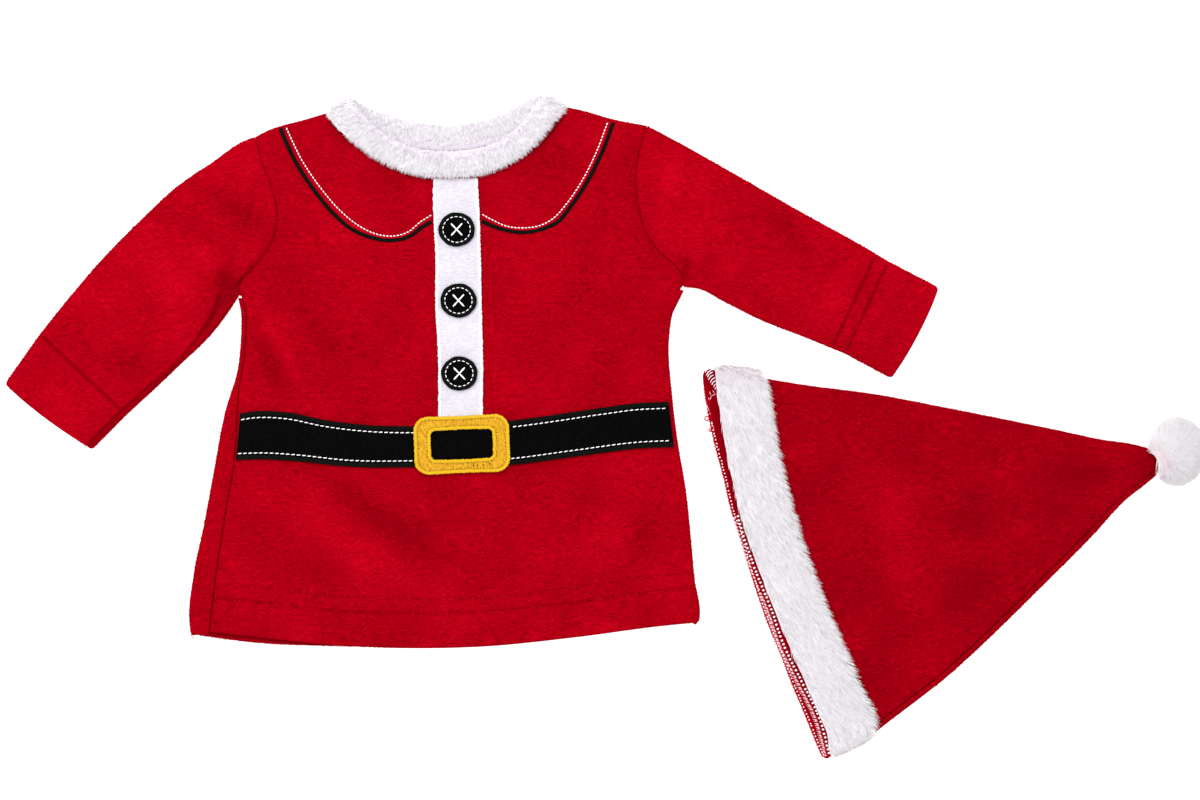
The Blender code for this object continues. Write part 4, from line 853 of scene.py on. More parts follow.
def locks(name, roots, ways, lengths, width, droop, tones, outwards, blush, up=FIBRE_UP):
    """Tapered locks of fibre: each is three-sided, with a root, a waist and a pointed tip. The waist lies on the
    way it grows, and the tip bends on by its droop. None sinks into the table. The locks are shaded mostly as
    the fur's surface is, because light passes from fibre to fibre."""
    ways = unit(ways)
    first = unit(np.cross(ways, np.where(np.abs(ways[:, 2:]) < 0.9, (0.0, 0.0, 1.0), (1.0, 0.0, 0.0))))
    second = np.cross(ways, first)
    angle = 2 * np.pi * np.arange(3) / 3
    ring = first[:, None] * np.cos(angle)[None, :, None] + second[:, None] * np.sin(angle)[None, :, None]
    size = (width + np.zeros(len(roots)))[:, None, None]
    long = lengths[:, None]
    root_ring = roots[:, None] + ring * size / 2
    waist = roots + 0.5 * long * ways + 0.22 * long * droop
    waist_ring = waist[:, None] + ring * size * 0.42
    tip = roots + long * ways + 0.8 * long * droop
    points = np.concatenate([root_ring, waist_ring, tip[:, None]], axis=1)
    points[:, :, 2] = np.maximum(points[:, :, 2], 0.3)
    base = np.arange(len(roots))[:, None, None] * 7
    shape = np.array([
        (0, 1, 4), (0, 4, 3), (1, 2, 5), (1, 5, 4), (2, 0, 3), (2, 3, 5), (3, 4, 6), (4, 5, 6), (5, 3, 6),
        (0, 2, 1),
    ])
    # Painted shade at each lock's root and painted light at its tip.
    tone = tones[:, None] + np.array([-0.25, -0.25, -0.25, 0, 0, 0, 0.25])
    made = mesh_piece(
        name, points.reshape(-1, 3), (base + shape).reshape(-1, 3), white_fur,
        tone=np.clip(tone, 0, 1).ravel(), blush=np.repeat(blush, 7),
    )
    spread = np.concatenate([ring, ring, np.zeros((len(roots), 1, 3))], axis=1)
    normals = unit(outwards[:, None] + FIBRE_ROUND * spread + (0, 0, up))
    made.data.normals_split_custom_set_from_vertices(normals.reshape(-1, 3))
    return made


def furred(rows, count, slim, level):
    """Places for this many locks, evenly spread over the parts of a fur ring that can be seen: everywhere but
    its underside. Also says which of them are on the half that lies higher than `level`."""
    s, across = draw.uniform(0, 1, count * 3), draw.uniform(-1.12, 1.12, count * 3)
    level_part = np.sign(across) * np.minimum(np.abs(across), 1) ** (1 / RING_POWERS[0])
    edge_part = np.where(np.abs(across) > 1, draw.uniform(0, 0.4, count * 3), 0)
    a = (np.arccos(level_part) - np.sign(across) * edge_part) * draw.choice([-1, 1], count * 3)
    seen = np.flatnonzero(ring_surface(rows, s, a, slim)[1][:, 2] > -0.35)[:count]
    return s[seen], a[seen], along(rows, s[seen], closed=True)[:, 2] > level


def wave_pair(value):
    """A push to the left on the right of 0 and to the right on its left, gone at a distance of 3."""
    return -value * np.exp(-(value**2))


def clumped(points, size, amount):
    """A smooth wavy offset of direction, so that neighbouring locks lean together: sums of waves in space."""
    waves = 2 * np.pi / size * unit(draw.normal(0, 1, (7, 3)))
    phase = draw.uniform(0, 2 * np.pi, (7, 3))
    offset = sum(np.sin((points @ wave)[:, None] + shift) for wave, shift in zip(waves, phase))
    return offset * amount / 2.6


white_fur = faux_fur("white_faux_fur", FUR_SHADE, FUR_WHITE)
NECK_SLIM, BACKING_SLIM = (2.0, 0.6), (0.3, 0.5)  # where the locks are rooted, and the backing they grow from
NECK_LEVEL, NECK_BACKING_PAINTED_SHADE = 4.5, 0.15  # the front half lies above this height; the backing's tone is a painted shade for the line between the halves
FRONT_WAY, INNER_WAY, BACK_WAY = (0.3, 0.8), (0.9, 0.3), (0.45, -0.5)  # outwards, then across, up and across
NECK_CLUMP, NECK_LEAN, NECK_STRAY = 3.0, (0.2, 0.35), 0.1  # clumps' size, their lean in front and at the back
NECK_TONES, NECK_PATCH = (0.8, 0.3, 0.7), (2.2, 0.14, 0.22)  # in front by its slope, painted shade on the slope facing the softbox and painted light on the one facing away; at the back; how it varies
NECK_RED_REFLECTION = 0.16  # painted reflection of the red plush, at the band's outer edge beside it
NECK_WIDTH = 1.3
neck_backing = ring_backing("neck_trim_backing", NECK_RING, BACKING_SLIM, white_fur, NECK_BACKING_PAINTED_SHADE)
s, a, on_top = furred(NECK_RING, NECK_LOCKS, NECK_SLIM, NECK_LEVEL)
roots, outwards, way, side = ring_surface(NECK_RING, s, a, NECK_SLIM)
standing = eased((-np.cos(a) - 0.55) / 0.4)[:, None]
across = FRONT_WAY[0] * outwards + FRONT_WAY[1] * side
upwards = INNER_WAY[0] * outwards + (0, 0, INNER_WAY[1])
in_front = (1 - standing) * across + standing * upwards
ways = np.where(on_top[:, None], in_front, BACK_WAY[0] * outwards + BACK_WAY[1] * side)
ways += clumped(roots, NECK_CLUMP, np.where(on_top, *NECK_LEAN)[:, None]) + draw.normal(0, NECK_STRAY, roots.shape)
ways[:, 0] += GATHER[2] * np.where(on_top, 0, 1) * wave_pair((roots[:, 0] - GATHER[0]) / GATHER[1])
lengths = draw.uniform(*NECK_LENGTH, len(s)) * np.where(np.cos(a) > 0.6, 0.8, 1.0)
lengths *= np.where(on_top, 1.0, 0.8)
droop = np.where(on_top, 0.2, -0.1)[:, None] * side + np.array([0, 0, -0.2])
# Painted shading in front: darker on the slope towards the softbox, lighter on the one away from it, to even out
# its light.
tones = np.where(on_top, NECK_TONES[0] - NECK_TONES[1] * outwards[:, 1], NECK_TONES[2])
tones += clumped(roots, *NECK_PATCH[:2])[:, 0] + draw.normal(0, NECK_PATCH[2], len(s))
# Painted reflection of the red plush along the front's outer edge.
blush = np.where(on_top, NECK_RED_REFLECTION * eased(np.cos(a) * 3 - 1.6), 0.0)
facing = np.where(on_top, 0.4, 1.0)[:, None] * outwards
neck_fur = locks("neck_trim_fur", roots, ways, lengths, LOCK_WIDTH * NECK_WIDTH, droop, tones, facing, blush)
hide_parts("neck_trim")
attach("white_fur", neck_backing, neck_fur)

# Placket
# A strip of white short-pile plush down the middle of the front, its raw edges covered with satin stitch.
PLACKET_LEFT = ((-93.1, 2.6), (-93.6, 48.7), (-94.5, 61.0), (-94.8, 98.6), (-95.9, 119.8), (-96.0, 139.6))
PLACKET_RIGHT = ((-68.5, 3.8), (-68.5, 48.7), (-68.9, 61.0), (-69.4, 87.9), (-70.3, 119.8), (-71.4, 139.8))
PLACKET_THICK = 1.2
SATIN_EDGE = 1.9  # width of the satin stitch
SATIN_PITCH = 0.7  # one thread; a real one is 0.4, too fine to show
SATIN_TUCK = 0.42  # a satin edge's middle lies this share of its width inside the cloth's edge
THREAD_WHITE = "#f7f5f9"
RAGGED = 0.13  # how unevenly a satin edge is stitched
LAID_GAP = 0.2


def front_top_of(x, y):
    return front_middle(x, y) + PLUSH / 2


def laid(name, plan, height, thickness, material, closed=False):
    """A flat piece on the front: its plan grid lies a small gap above the surface below each point."""
    x, y = plan[:, :, 0], plan[:, :, 1]
    grid = stacked(x, y, height(x, y) + LAID_GAP + thickness / 2)
    return cloth(name, grid, upright(grid), thickness / 2, material, 0.0, closed=closed)


def between(first, second, shares):
    """Plan grid from one line of points to another."""
    shares = np.asarray(shares)[:, None, None]
    return first[None] * (1 - shares) + second[None] * shares


def satin(name, dark, bright, gloss):
    """Satin stitch: threads laid side by side across a ribbon, each a half-round with a soft gloss, painted
    lighter along its crest and darker between threads. The UV map runs along the ribbon in millimetres."""
    material, tree, shader = finish_of(name, Roughness=0.5, Specular_IOR_Level=gloss)
    place = add_node(tree, "UVMap", uv_map="along")
    run = add_node(tree, "SeparateXYZ", {0: place.outputs[0]}).outputs["X"]
    jitter = noise(tree, place.outputs[0], 0.8, 2.0)
    angle = times(tree, jitter, 4.0, times(tree, run, 2 * np.pi / SATIN_PITCH, 0.0))
    wave = add_node(tree, "Math", {0: angle}, operation="SINE").outputs[0]
    # Painted highlight on each thread's crest and painted shade between threads, following the relief.
    tone = times(tree, jitter, 0.8, times(tree, wave, 0.35, 0.2))
    dressed(tree, shader, toned(tree, tone, (0.15, dark), (0.85, bright)), wave, 0.15, 0.8)
    return material


def satin_ribbon(name, line, width, rise, base, material, closed=False):
    """A ribbon of satin stitch along a plan line: a low half-round section that stands `rise` above the base
    height and tucks in at both edges."""
    right = right_of(np.roll(line, -1, axis=0) - np.roll(line, 1, axis=0)) if closed else leaning(line)
    angle = np.linspace(0, 2 * np.pi, 13)[:-1]
    plan = line[:, None] + (np.cos(angle) * width / 2)[None, :, None] * right[:, None]
    top = np.maximum(np.sin(angle), -0.25)
    centre = base(line[:, 0], line[:, 1])
    points = stacked(plan[:, :, 0], plan[:, :, 1], centre[:, None] + rise * top[None])
    run = run_of(np.vstack([line, line[:1]]) if closed else line)
    quads = grid_quads(*points.shape[:2], closed, True)[..., [0, 3, 2, 1]].reshape(-1, 4)
    u = np.stack([run[:-1], run[1:], run[1:], run[:-1]], axis=-1)[:, None].repeat(12, axis=1)
    v = np.broadcast_to((np.array([0, 0, 1, 1]) + np.arange(12)[:, None]) / 12, u.shape)
    uv = np.stack([u, v], axis=-1).reshape(-1, 4, 2)
    if not closed:
        last = np.arange(12) + points.size // 3 - 12
        fan = np.array([(0, i, i + 1, i + 2) for i in range(1, 11, 2)])
        quads = np.vstack([quads, np.arange(12)[::-1][fan], last[fan]])
        uv = np.vstack([uv, np.zeros((10, 4, 2))])
    return mesh_piece(name, points.reshape(-1, 3), quads, material, uv=uv)


white_plush = pile("white_short_pile", "#bcb7c1", "#c9c5ce", "#d3d0d8", (0.1, "#ffffff"))
white_satin = satin("white_satin_stitch", "#d8d5dd", "#f4f2f7", 0.2)
placket_rows = np.concatenate([[0, 0.002, 0.006], np.linspace(0.015, 0.985, 90), [0.994, 0.998, 1]])
placket_sides = (along(side, placket_rows) for side in (PLACKET_LEFT, PLACKET_RIGHT))
placket_plan = between(*placket_sides, np.linspace(0, 1, 14))
placket = laid("placket_plush", placket_plan, front_top_of, PLACKET_THICK, white_plush)
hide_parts("placket")


def placket_top(x, y):
    return front_top_of(x, y) + LAID_GAP + PLACKET_THICK


placket_edges = []
for name, edge, inwards in (("left", PLACKET_LEFT, 1), ("right", PLACKET_RIGHT, -1)):
    line = along(edge, np.linspace(0.003, 0.997, 150)) + (inwards * SATIN_EDGE * SATIN_TUCK, 0)
    line[:, 0] += draw.normal(0, RAGGED, len(line))
    made = satin_ribbon(f"placket_satin_{name}", line, SATIN_EDGE, 0.35, placket_top, white_satin)
    placket_edges.append(made)
attach("white_plush", placket, *placket_edges)

# Belt
# A strip of black felt sewn across from seam to seam. Black satin stitch covers both edges, and a row of white
# running stitches follows each of them 3 mm inside.
BELT_TOP = (
    (-204.2, 8.0), (-196.2, 9.2), (-178.1, 8.7), (-157.6, 4.6), (-131.0, 1.5), (-107.0, 0.9), (-53.8, 4.0),
    (-0.6, 11.4), (16.6, 13.7), (35.6, 14.6),
)
BELT_LOW = (
    (-206.6, -17.8), (-189.8, -17.4), (-173.7, -18.4), (-141.7, -21.6), (-106.4, -21.8), (-53.2, -20.6),
    (-17.6, -16.0), (22.4, -11.1), (38.6, -10.5),
)
BELT_THICK = 1.4
BELT_EDGE = 2.6
BUCKLE_CENTRE, BUCKLE_SIZE = (-80.0, -9.1), (53.3, 31.7, 7.6)  # the belt's stitches stop at it
FELT_DARK, FELT_BLACK = "#020202", "#0b0c0b"
RUNNING = (3.0, 2.25, 0.58, 0.36)  # pitch, length, width and height of a running stitch
RUNNING_INSET, RUNNING_TILT = 3.5, -0.12  # how far inside the edge, and how far its ends lie off the line


def felt(name, dark, light):
    """Wool felt: short tangled fibres with no grain, matt, with a faint grey bloom."""
    material, tree, shader = finish_of(name, Roughness=0.95, Sheen_Weight=0.02, Specular_IOR_Level=0.0)
    place = add_node(tree, "TexCoord").outputs["Object"]
    tangle = noise(tree, place, 1100.0, 4.0, 1.2)
    dressed(tree, shader, toned(tree, tangle, (0.3, dark), (0.8, light)), tangle, 0.3, 0.7)
    return material


def stitches(name, starts, ends, width, height, material, full=(0.25, 0.8, 1.0, 1.0, 0.8, 0.25)):
    """Stitches of thread: each runs from its start to its end as a thin spindle, as full along its length as
    `full` says, and dips into the cloth at both ends."""
    ways = ends - starts
    side = unit(np.cross(ways, (0.0, 0.0, 1.0)))
    t = np.array([0.0, 0.12, 0.35, 0.65, 0.88, 1.0])
    full = np.array(full)
    angle = 2 * np.pi * np.arange(6) / 6
    middle = starts[:, None] + t[None, :, None] * ways[:, None]
    middle[:, :, 2] += (full * height - 0.45 * height)[None]
    across = (full[:, None] * np.cos(angle) * width / 2)[None, :, :, None] * side[:, None, None]
    points = middle[:, :, None] + across
    points[:, :, :, 2] += (full[:, None] * np.sin(angle) * height / 2)[None]
    count = len(starts)
    index = np.arange(count * 36).reshape(count, 6, 6)
    beside = np.roll(index, -1, axis=2)
    quads = np.stack([index[:, :-1], beside[:, :-1], beside[:, 1:], index[:, 1:]], axis=-1).reshape(-1, 4)
    caps = np.vstack([
        index[:, 0][:, [5, 4, 1, 0]], index[:, 0][:, [4, 3, 2, 1]],
        index[:, 5][:, [0, 1, 4, 5]], index[:, 5][:, [1, 2, 3, 4]],
    ])
    return mesh_piece(name, points.reshape(-1, 3), np.vstack([quads, caps]), material)


def spaced(line, pitch, length, height_of, tilt=0.0):
    """Starts and ends of stitches of this length at this pitch along a plan line, set on a surface. Each may
    be tilted, its ends this far to the left and right of the line."""
    run = run_of(line)
    first = np.arange(pitch / 4, run[-1] - length, pitch)
    ends = []
    for at, offset in ((first, -tilt), (first + length, tilt)):
        plan = at_run(at, run, line + offset * leaning(line))
        ends.append(np.column_stack([plan, height_of(*plan.T)]))
    return ends


black_felt = felt("black_felt", FELT_DARK, FELT_BLACK)
black_satin = satin("black_satin_stitch", "#030403", "#131513", 0.02)
# Mercerised cotton: white with a faint sheen, so each stitch reads as a small bright dash on the felt.
white_thread = plain("white_cotton_thread", THREAD_WHITE, 0.55, Sheen_Weight=0.2)
columns = close_shares(180, 0.02)
belt_low, belt_top = along(BELT_LOW, columns), along(BELT_TOP, columns)
belt_plan = between(belt_low, belt_top, np.linspace(0, 1, 16))
belt = laid("belt_felt", belt_plan, front_top_of, BELT_THICK, black_felt)
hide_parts("belt")


def belt_surface(x, y):
    return front_top_of(x, y) + LAID_GAP + BELT_THICK


belt_trims = []
for name, near, far in (("low", belt_low, belt_top), ("top", belt_top, belt_low)):
    across_belt = unit(far - near)
    border = near + across_belt * BELT_EDGE * 0.45
    belt_trims.append(satin_ribbon(f"belt_satin_{name}", border, BELT_EDGE, 0.4, belt_surface, black_satin))
    row = near + across_belt * RUNNING_INSET
    starts, ends = spaced(row, *RUNNING[:2], belt_surface, RUNNING_TILT)
    clear = np.abs(starts[:, 0] - BUCKLE_CENTRE[0]) > BUCKLE_SIZE[0] / 2 - 1
    running = stitches(f"belt_stitches_{name}", starts[clear], ends[clear], *RUNNING[2:], white_thread)
    belt_trims.append(running)
attach("black_felt", belt, *belt_trims)

# Buckle
# A frame of dense yellow embroidery over the belt: a filled band of zigzag between two corded satin rims, with
# a hole in the middle that shows the felt.
BUCKLE_HOLE, BUCKLE_TILT = (34.9, 16.9, 3.2), 2.3
BUCKLE_THICK, BUCKLE_RIM = 1.3, 1.9
TICKS = (1.15, -0.4, 0.4, 0.0)  # pitch, ends to the left and right, and slant
YELLOW_DARK, YELLOW, YELLOW_BRIGHT, YELLOW_RIM = "#a87006", "#bd8a0b", "#cda018", "#e0b420"
TICK_BROWN = "#5c3503"
BUCKLE_GAPS = ((-88.6, 0.5), (-73.6, -20.9), (-71.3, -20.9), (-68.0, -20.6), (-64.6, -19.9))  # the felt shows


def rounded_rectangle(width, height, radius):
    """Evenly spaced points round a rectangle with round corners, from its right-hand side."""
    corners = []
    for turn in range(4):
        angle = np.radians(90 * turn + np.linspace(0, 90, 12))
        sign = ((1, 1), (-1, 1), (-1, -1), (1, -1))[turn]
        centre = np.array(sign) * (width / 2 - radius, height / 2 - radius)
        corners.append(centre + radius * np.stack([np.cos(angle), np.sin(angle)], axis=1))
    outline = np.vstack([*corners, corners[0][:1]])
    run = run_of(outline)
    return at_run(np.linspace(0, run[-1], 241)[:-1], run, outline)


turn = np.radians(BUCKLE_TILT)
turned = np.array([[np.cos(turn), np.sin(turn)], [-np.sin(turn), np.cos(turn)]])
buckle_outer, buckle_inner = (
    rounded_rectangle(*size) @ turned + BUCKLE_CENTRE for size in (BUCKLE_SIZE, BUCKLE_HOLE)
)


def buckle_surface(x, y):
    return belt_surface(x, y) + LAID_GAP + BUCKLE_THICK


def embroidery(name):
    """Zigzag fill: slanted threads that cross in two directions, with a soft satin gloss."""
    material, tree, shader = finish_of(name, Roughness=0.5, Specular_IOR_Level=0.12)
    place = add_node(tree, "TexCoord").outputs["Object"]
    slanted = add_node(tree, "Mapping", {"Vector": place, "Rotation": (0, 0, 0.35), "Scale": (1300, 420, 420)})
    thread = noise(tree, slanted.outputs[0], 1.0, 2.0)
    colour = toned(tree, thread, (0.3, YELLOW_DARK), (0.5, YELLOW), (0.7, YELLOW_BRIGHT))
    dressed(tree, shader, colour, thread, 0.3, 0.8)
    return material


def ladder(name, line, pitch, inner, outer, slant, size, material, height, uneven=0.0):
    """Stitches side by side along a plan line, each from one offset to its right to another, slanted along it
    and as uneven in place as given."""
    run = run_of(line)
    at = np.arange(0, run[-1], pitch)
    at = at + draw.normal(0, uneven, len(at))
    aside = draw.normal(0, uneven / 2, (len(at), 1))
    ends = []
    for offset, shift in ((inner, 0.0), (outer, slant)):
        where = np.clip(at + shift, 0, run[-1])
        plan = at_run(where, run, line) + (offset + aside) * at_run(where, run, leaning(line))
        level = height(*plan.T) if callable(height) else np.full(len(at), height)
        ends.append(np.column_stack([plan, level]))
    return stitches(name, *ends, *size, material)


yellow_fill = embroidery("yellow_embroidery")
yellow_satin = satin("yellow_satin_stitch", YELLOW_BRIGHT, YELLOW_RIM, 0.1)
# The dark gaps beside the rims, where the zigzag's threads turn round: they draw its comb-like edge.
tick_thread = plain("shadow_between_threads", TICK_BROWN, 1.0, Specular_IOR_Level=0.0)
buckle_plan = between(buckle_inner, buckle_outer, np.linspace(0, 1, 9))
buckle = laid("buckle_embroidery", buckle_plan, belt_surface, BUCKLE_THICK, yellow_fill, closed=True)
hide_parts("buckle")
buckle_trims = []
for name, near, far in (("outer", buckle_outer, buckle_inner), ("inner", buckle_inner, buckle_outer)):
    inwards = unit(far - near)
    rim = near + inwards * (BUCKLE_RIM * 0.45 + draw.normal(0, RAGGED, (len(near), 1)))
    ticks = (near + inwards * (BUCKLE_RIM + 0.35))[np.r_[0 : len(near), 0]]
    buckle_trims += [
        ladder(f"buckle_ticks_{name}", ticks, *TICKS, (0.3, 0.2), tick_thread, buckle_surface, 0.3),
        satin_ribbon(f"buckle_rim_{name}", rim, BUCKLE_RIM, 0.5, buckle_surface, yellow_satin, closed=True),
    ]
gaps = np.column_stack([BUCKLE_GAPS, buckle_surface(*np.array(BUCKLE_GAPS).T)])
buckle_trims.append(stitches("buckle_gaps", gaps - (0.1, 0.6, 0), gaps + (0.1, 0.6, 0), 0.5, 0.3, black_felt))
attach("yellow_thread", buckle, *buckle_trims)

# Buttons
# Three flat discs of black felt on the placket, each with a rim of black satin stitch, a ring of white running
# stitches and a white cross that stands for the thread of a real button.
BUTTONS = {"top": (-82.9, 111.0), "middle": (-81.9, 71.3), "bottom": (-81.4, 30.5)}
BUTTON_RADII = np.array((10.0, 9.4))
BUTTON_THICK = 1.3
BUTTON_RIM = 2.3
BUTTON_RING, BUTTON_DASHES = 0.77, 18  # radius of the ring as a share of the disc's
BUTTON_CROSS = 4.6  # half length of a stroke, whose ends are a little wider than its middle


def button_surface(x, y):
    return placket_top(x, y) + LAID_GAP + BUTTON_THICK


for name, centre in BUTTONS.items():
    plan = disc_grid(centre, BUTTON_RADII, 0.02, 10, 64)
    disc = laid(f"button_{name}_felt", plan, placket_top, BUTTON_THICK, black_felt, closed=True)
    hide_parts(f"button_{name}")
    round_about = np.linspace(0, 2 * np.pi, 97)[:-1]
    spoke = np.stack([np.cos(round_about), np.sin(round_about)], axis=1)
    wobble = 1 + 0.012 * np.sin(5 * round_about + centre[1]) + 0.008 * np.sin(11 * round_about)
    rim = spoke * (BUTTON_RADII - BUTTON_RIM * 0.42) * wobble[:, None] + centre
    edging = satin_ribbon(f"button_{name}_rim", rim, BUTTON_RIM, 0.45, button_surface, black_satin, closed=True)
    parts = [disc, edging]
    ring = spoke[np.r_[0:96, 0]] * BUTTON_RADII * BUTTON_RING + centre
    length = run_of(ring)[-1] / BUTTON_DASHES
    starts, ends = spaced(ring, length, length * 0.7, button_surface)
    parts.append(stitches(f"button_{name}_ring", starts, ends, 0.5, 0.3, white_thread))
    tilt = np.radians(np.array([48.0, 134.0]))
    arm = BUTTON_CROSS * np.stack([np.cos(tilt), np.sin(tilt)], axis=1)
    level = button_surface(np.array([centre[0]] * 2), np.array([centre[1]] * 2))[:, None] + [[0.0], [0.25]]
    starts, ends = (np.hstack([np.array(centre) + sign * arm, level]) for sign in (-1, 1))
    parts.append(stitches(
        f"button_{name}_cross", starts, ends, 0.85, 0.5, white_thread, (0.55, 1.1, 0.9, 0.9, 1.15, 0.6)
    ))
    attach("black_felt", *parts)

# Collar lines
# A black satin-stitched braid on each side draws a round collar on the front, with a row of white stitches
# inside it.
LEFT_BRAID = (
    (-182.0, 168.0), (-173.2, 149.0), (-162.5, 132.7), (-151.8, 119.8), (-141.1, 110.9), (-130.5, 106.5),
    (-117.6, 105.1), (-109.0, 107.5), (-101.5, 113.0), (-97.2, 115.4),
)
RIGHT_BRAID = (
    (4.7, 171.0), (-1.2, 155.2), (-9.8, 138.1), (-18.5, 124.9), (-26.9, 115.1), (-36.6, 110.9), (-46.3, 109.5),
    (-56.0, 110.9), (-63.4, 113.2), (-69.0, 115.8),
)
LEFT_DASHES = (
    (-178.7, 168.6), (-169.1, 149.0), (-158.3, 133.3), (-147.5, 121.0), (-136.8, 112.6), (-127.1, 108.3),
    (-117.6, 107.5), (-110.0, 109.8), (-103.6, 115.1), (-97.0, 119.3),
)
RIGHT_DASHES = (
    (1.6, 171.4), (-4.5, 155.2), (-13.0, 138.1), (-21.6, 125.4), (-29.1, 117.2), (-37.7, 112.9), (-46.3, 112.0),
    (-54.9, 112.9), (-62.3, 116.1), (-69.2, 119.8),
)
BRAID_WIDTH, BRAID_RISE = 2.2, 0.9
COLLAR_STITCH = (1.95, 1.45, 0.62, 0.45)
COLLAR_TILT = 0.13
RIDGE_WIDTH, RIDGE_RISE = 1.0, 0.35  # the cloth swells between the braid and the stitches
# A brighter copy of the red plush on the swell: a painted highlight.
ridge_highlight_plush = pile("red_velour_painted_highlight", PLUSH_RED, "#a80016", "#c2041f", (0.3, "#ff0a24"))
for name, braid, dashes in (("left", LEFT_BRAID, LEFT_DASHES), ("right", RIGHT_BRAID, RIGHT_DASHES)):
    line = along(braid, np.linspace(0, 1, 160))
    ribbon = satin_ribbon(f"collar_braid_{name}", line, BRAID_WIDTH, BRAID_RISE, front_top_of, black_satin)
    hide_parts(f"braid_{name}")
    stitch_line = along(dashes, np.linspace(0, 1, 160))
    crest = (line * 0.42 + stitch_line * 0.58)[3:-3]
    ridge = satin_ribbon(f"collar_ridge_{name}", crest, RIDGE_WIDTH, RIDGE_RISE, front_top_of, ridge_highlight_plush)
    attach("red_plush", ridge)
    starts, ends = spaced(stitch_line, *COLLAR_STITCH[:2], front_top_of, COLLAR_TILT)
    row = stitches(f"collar_stitches_{name}", starts, ends, *COLLAR_STITCH[2:], white_thread)
    attach("black_felt", ribbon, row)

# Hem stitching
# The turned hem is held by a twin needle: two rows of red stitches, 8 mm apart, that sink into the pile. Each
# cuff is held the same way, the left by one row; there the rows are only grooves in the sleeves.
RED_STITCH = (1.6, 0.9, 0.6, 0.3)  # pitch, length, width and height
HOLE_SIZE = (0.62, 0.22)
STITCHES_SHOWN, HOLES_SHOWN = (0.5, 0.95), (0.3, 0.55)  # shares of each row that the pile leaves free
HEM_ENDS = (-217, 46)  # the rows of stitches show between these places across
THREAD_RED, NEEDLE_HOLE_SHADE = "#b4071d", "#3c0006"
# Matt red thread, a little brighter than the pile it sinks into, and painted shade in the holes between its
# stitches: dark dots.
red_thread = plain("red_polyester_thread", THREAD_RED, 0.8, Specular_IOR_Level=0.0)
needle_hole_shade = plain("painted_shade_in_needle_holes", NEEDLE_HOLE_SHADE, 1.0, Specular_IOR_Level=0.0)
seams = []
hem_at = read(front_hem, hem_stitch[:, 0], 0)
for number, share in enumerate(HEM_ROWS):
    row = np.stack([hem_stitch[:, 0], hem_at + share * (hem_stitch[:, 1] - hem_at)], axis=1)
    row = row[(row[:, 0] > HEM_ENDS[0]) & (row[:, 0] < HEM_ENDS[1])]
    starts, ends = spaced(row, *RED_STITCH[:2], front_top_of)
    shown = draw.uniform(0, 1, len(starts)) < STITCHES_SHOWN[number]
    seams.append(stitches(f"hem_stitches_{number}", starts[shown], ends[shown], *RED_STITCH[2:], red_thread))
    ahead = ends[:-1] - starts[:-1]
    holes = ends[:-1] + 0.12 * ahead, starts[1:] - 0.12 * ahead
    dark = draw.uniform(0, 1, len(holes[0])) < HOLES_SHOWN[number]
    seams.append(stitches(f"hem_hole_shade_{number}", holes[0][dark], holes[1][dark], *HOLE_SIZE, needle_hole_shade))
attach("red_plush", *seams)

# Hat
# A cone of the same plush: the front rolls over at its upper edge, and the back folds up along the lower edge as
# a narrow strip. The back runs on inside the fur band to the mouth, where its overlocked edge shows.
HAT_TOP = (
    (90.6, 27.6), (108.8, 24.6), (154.0, 18.5), (188.2, 12.0), (222.5, 5.2), (252.3, -0.9), (279.7, -6.7),
    (298.0, -9.6), (306.0, -12.4), (310.0, -16.6), (311.3, -20.4),
)
HAT_LOW = (
    (151.6, -170.4), (168.0, -157.9), (190.4, -140.6), (214.5, -118.7), (239.7, -94.1), (273.8, -59.9),
    (293.5, -38.9), (303.4, -31.2), (309.0, -26.2), (311.3, -21.8),
)
HAT_MOUTH = (
    (91.0, 25.5), (91.9, 17.9), (95.4, -9.5), (103.2, -43.5), (115.6, -80.6), (133.8, -124.3), (149.0, -157.0),
    (150.8, -168.6),
)
HAT_INSIDE_EDGE = (
    (57.8, 33.2), (55.8, 32.3), (54.8, 30.0), (54.9, 25.8), (56.6, 14.0), (58.8, 2.2), (62.4, -13.4),
    (66.4, -27.7), (70.3, -44.8), (75.0, -59.1), (79.8, -75.6), (85.7, -94.4), (91.8, -111.4), (98.6, -127.7),
    (104.6, -143.4), (111.4, -159.6), (118.3, -176.7), (120.5, -181.9), (122.4, -184.5), (124.3, -185.2),
)
HAT_FOLDS = (
    (270.5, -25.8, 17.0, 5.5, -1.5, 5.0),
    (162.0, -52.0, 40.0, 14.0, 1.3, -80.0),
    (207.0, -51.5, 14.0, 9.0, -1.0, 20.0),
    (201.6, -96.0, 16.0, 9.0, -1.0, 35.0),
)
INSIDE_NARROW = (4.0, 8.0)  # how far the mouth's inside edge draws in at its upper and lower end
SEAM_HIDDEN = (262, 305)  # towards the tip, between these, the pile hides the seam
HAT_FUZZ, SEAM_FUZZ = (0.6, 4.4), (3.9, 4.4)
HAT_PUFF, HAT_SEAM, HAT_RISE, HAT_BEND = 3.0, 3.2, 40.0, 0.8
BAND_LIFT, BAND_SLOPE = 3.9, (-5.0, 11.0)
HAT_PAINTED_SHADE, HOLLOW_PAINTED_SHADE = -0.6, -2.2  # painted shade: the hat's pile is painted darker, as though it lay away from the light, and the hollow by the band darker still
HAT_STATIONS = np.concatenate([
    [0, 0.002, 0.005, 0.01], np.linspace(0.018, 0.93, 76), np.linspace(0.938, 0.992, 12), [0.995, 0.998, 1.0],
])


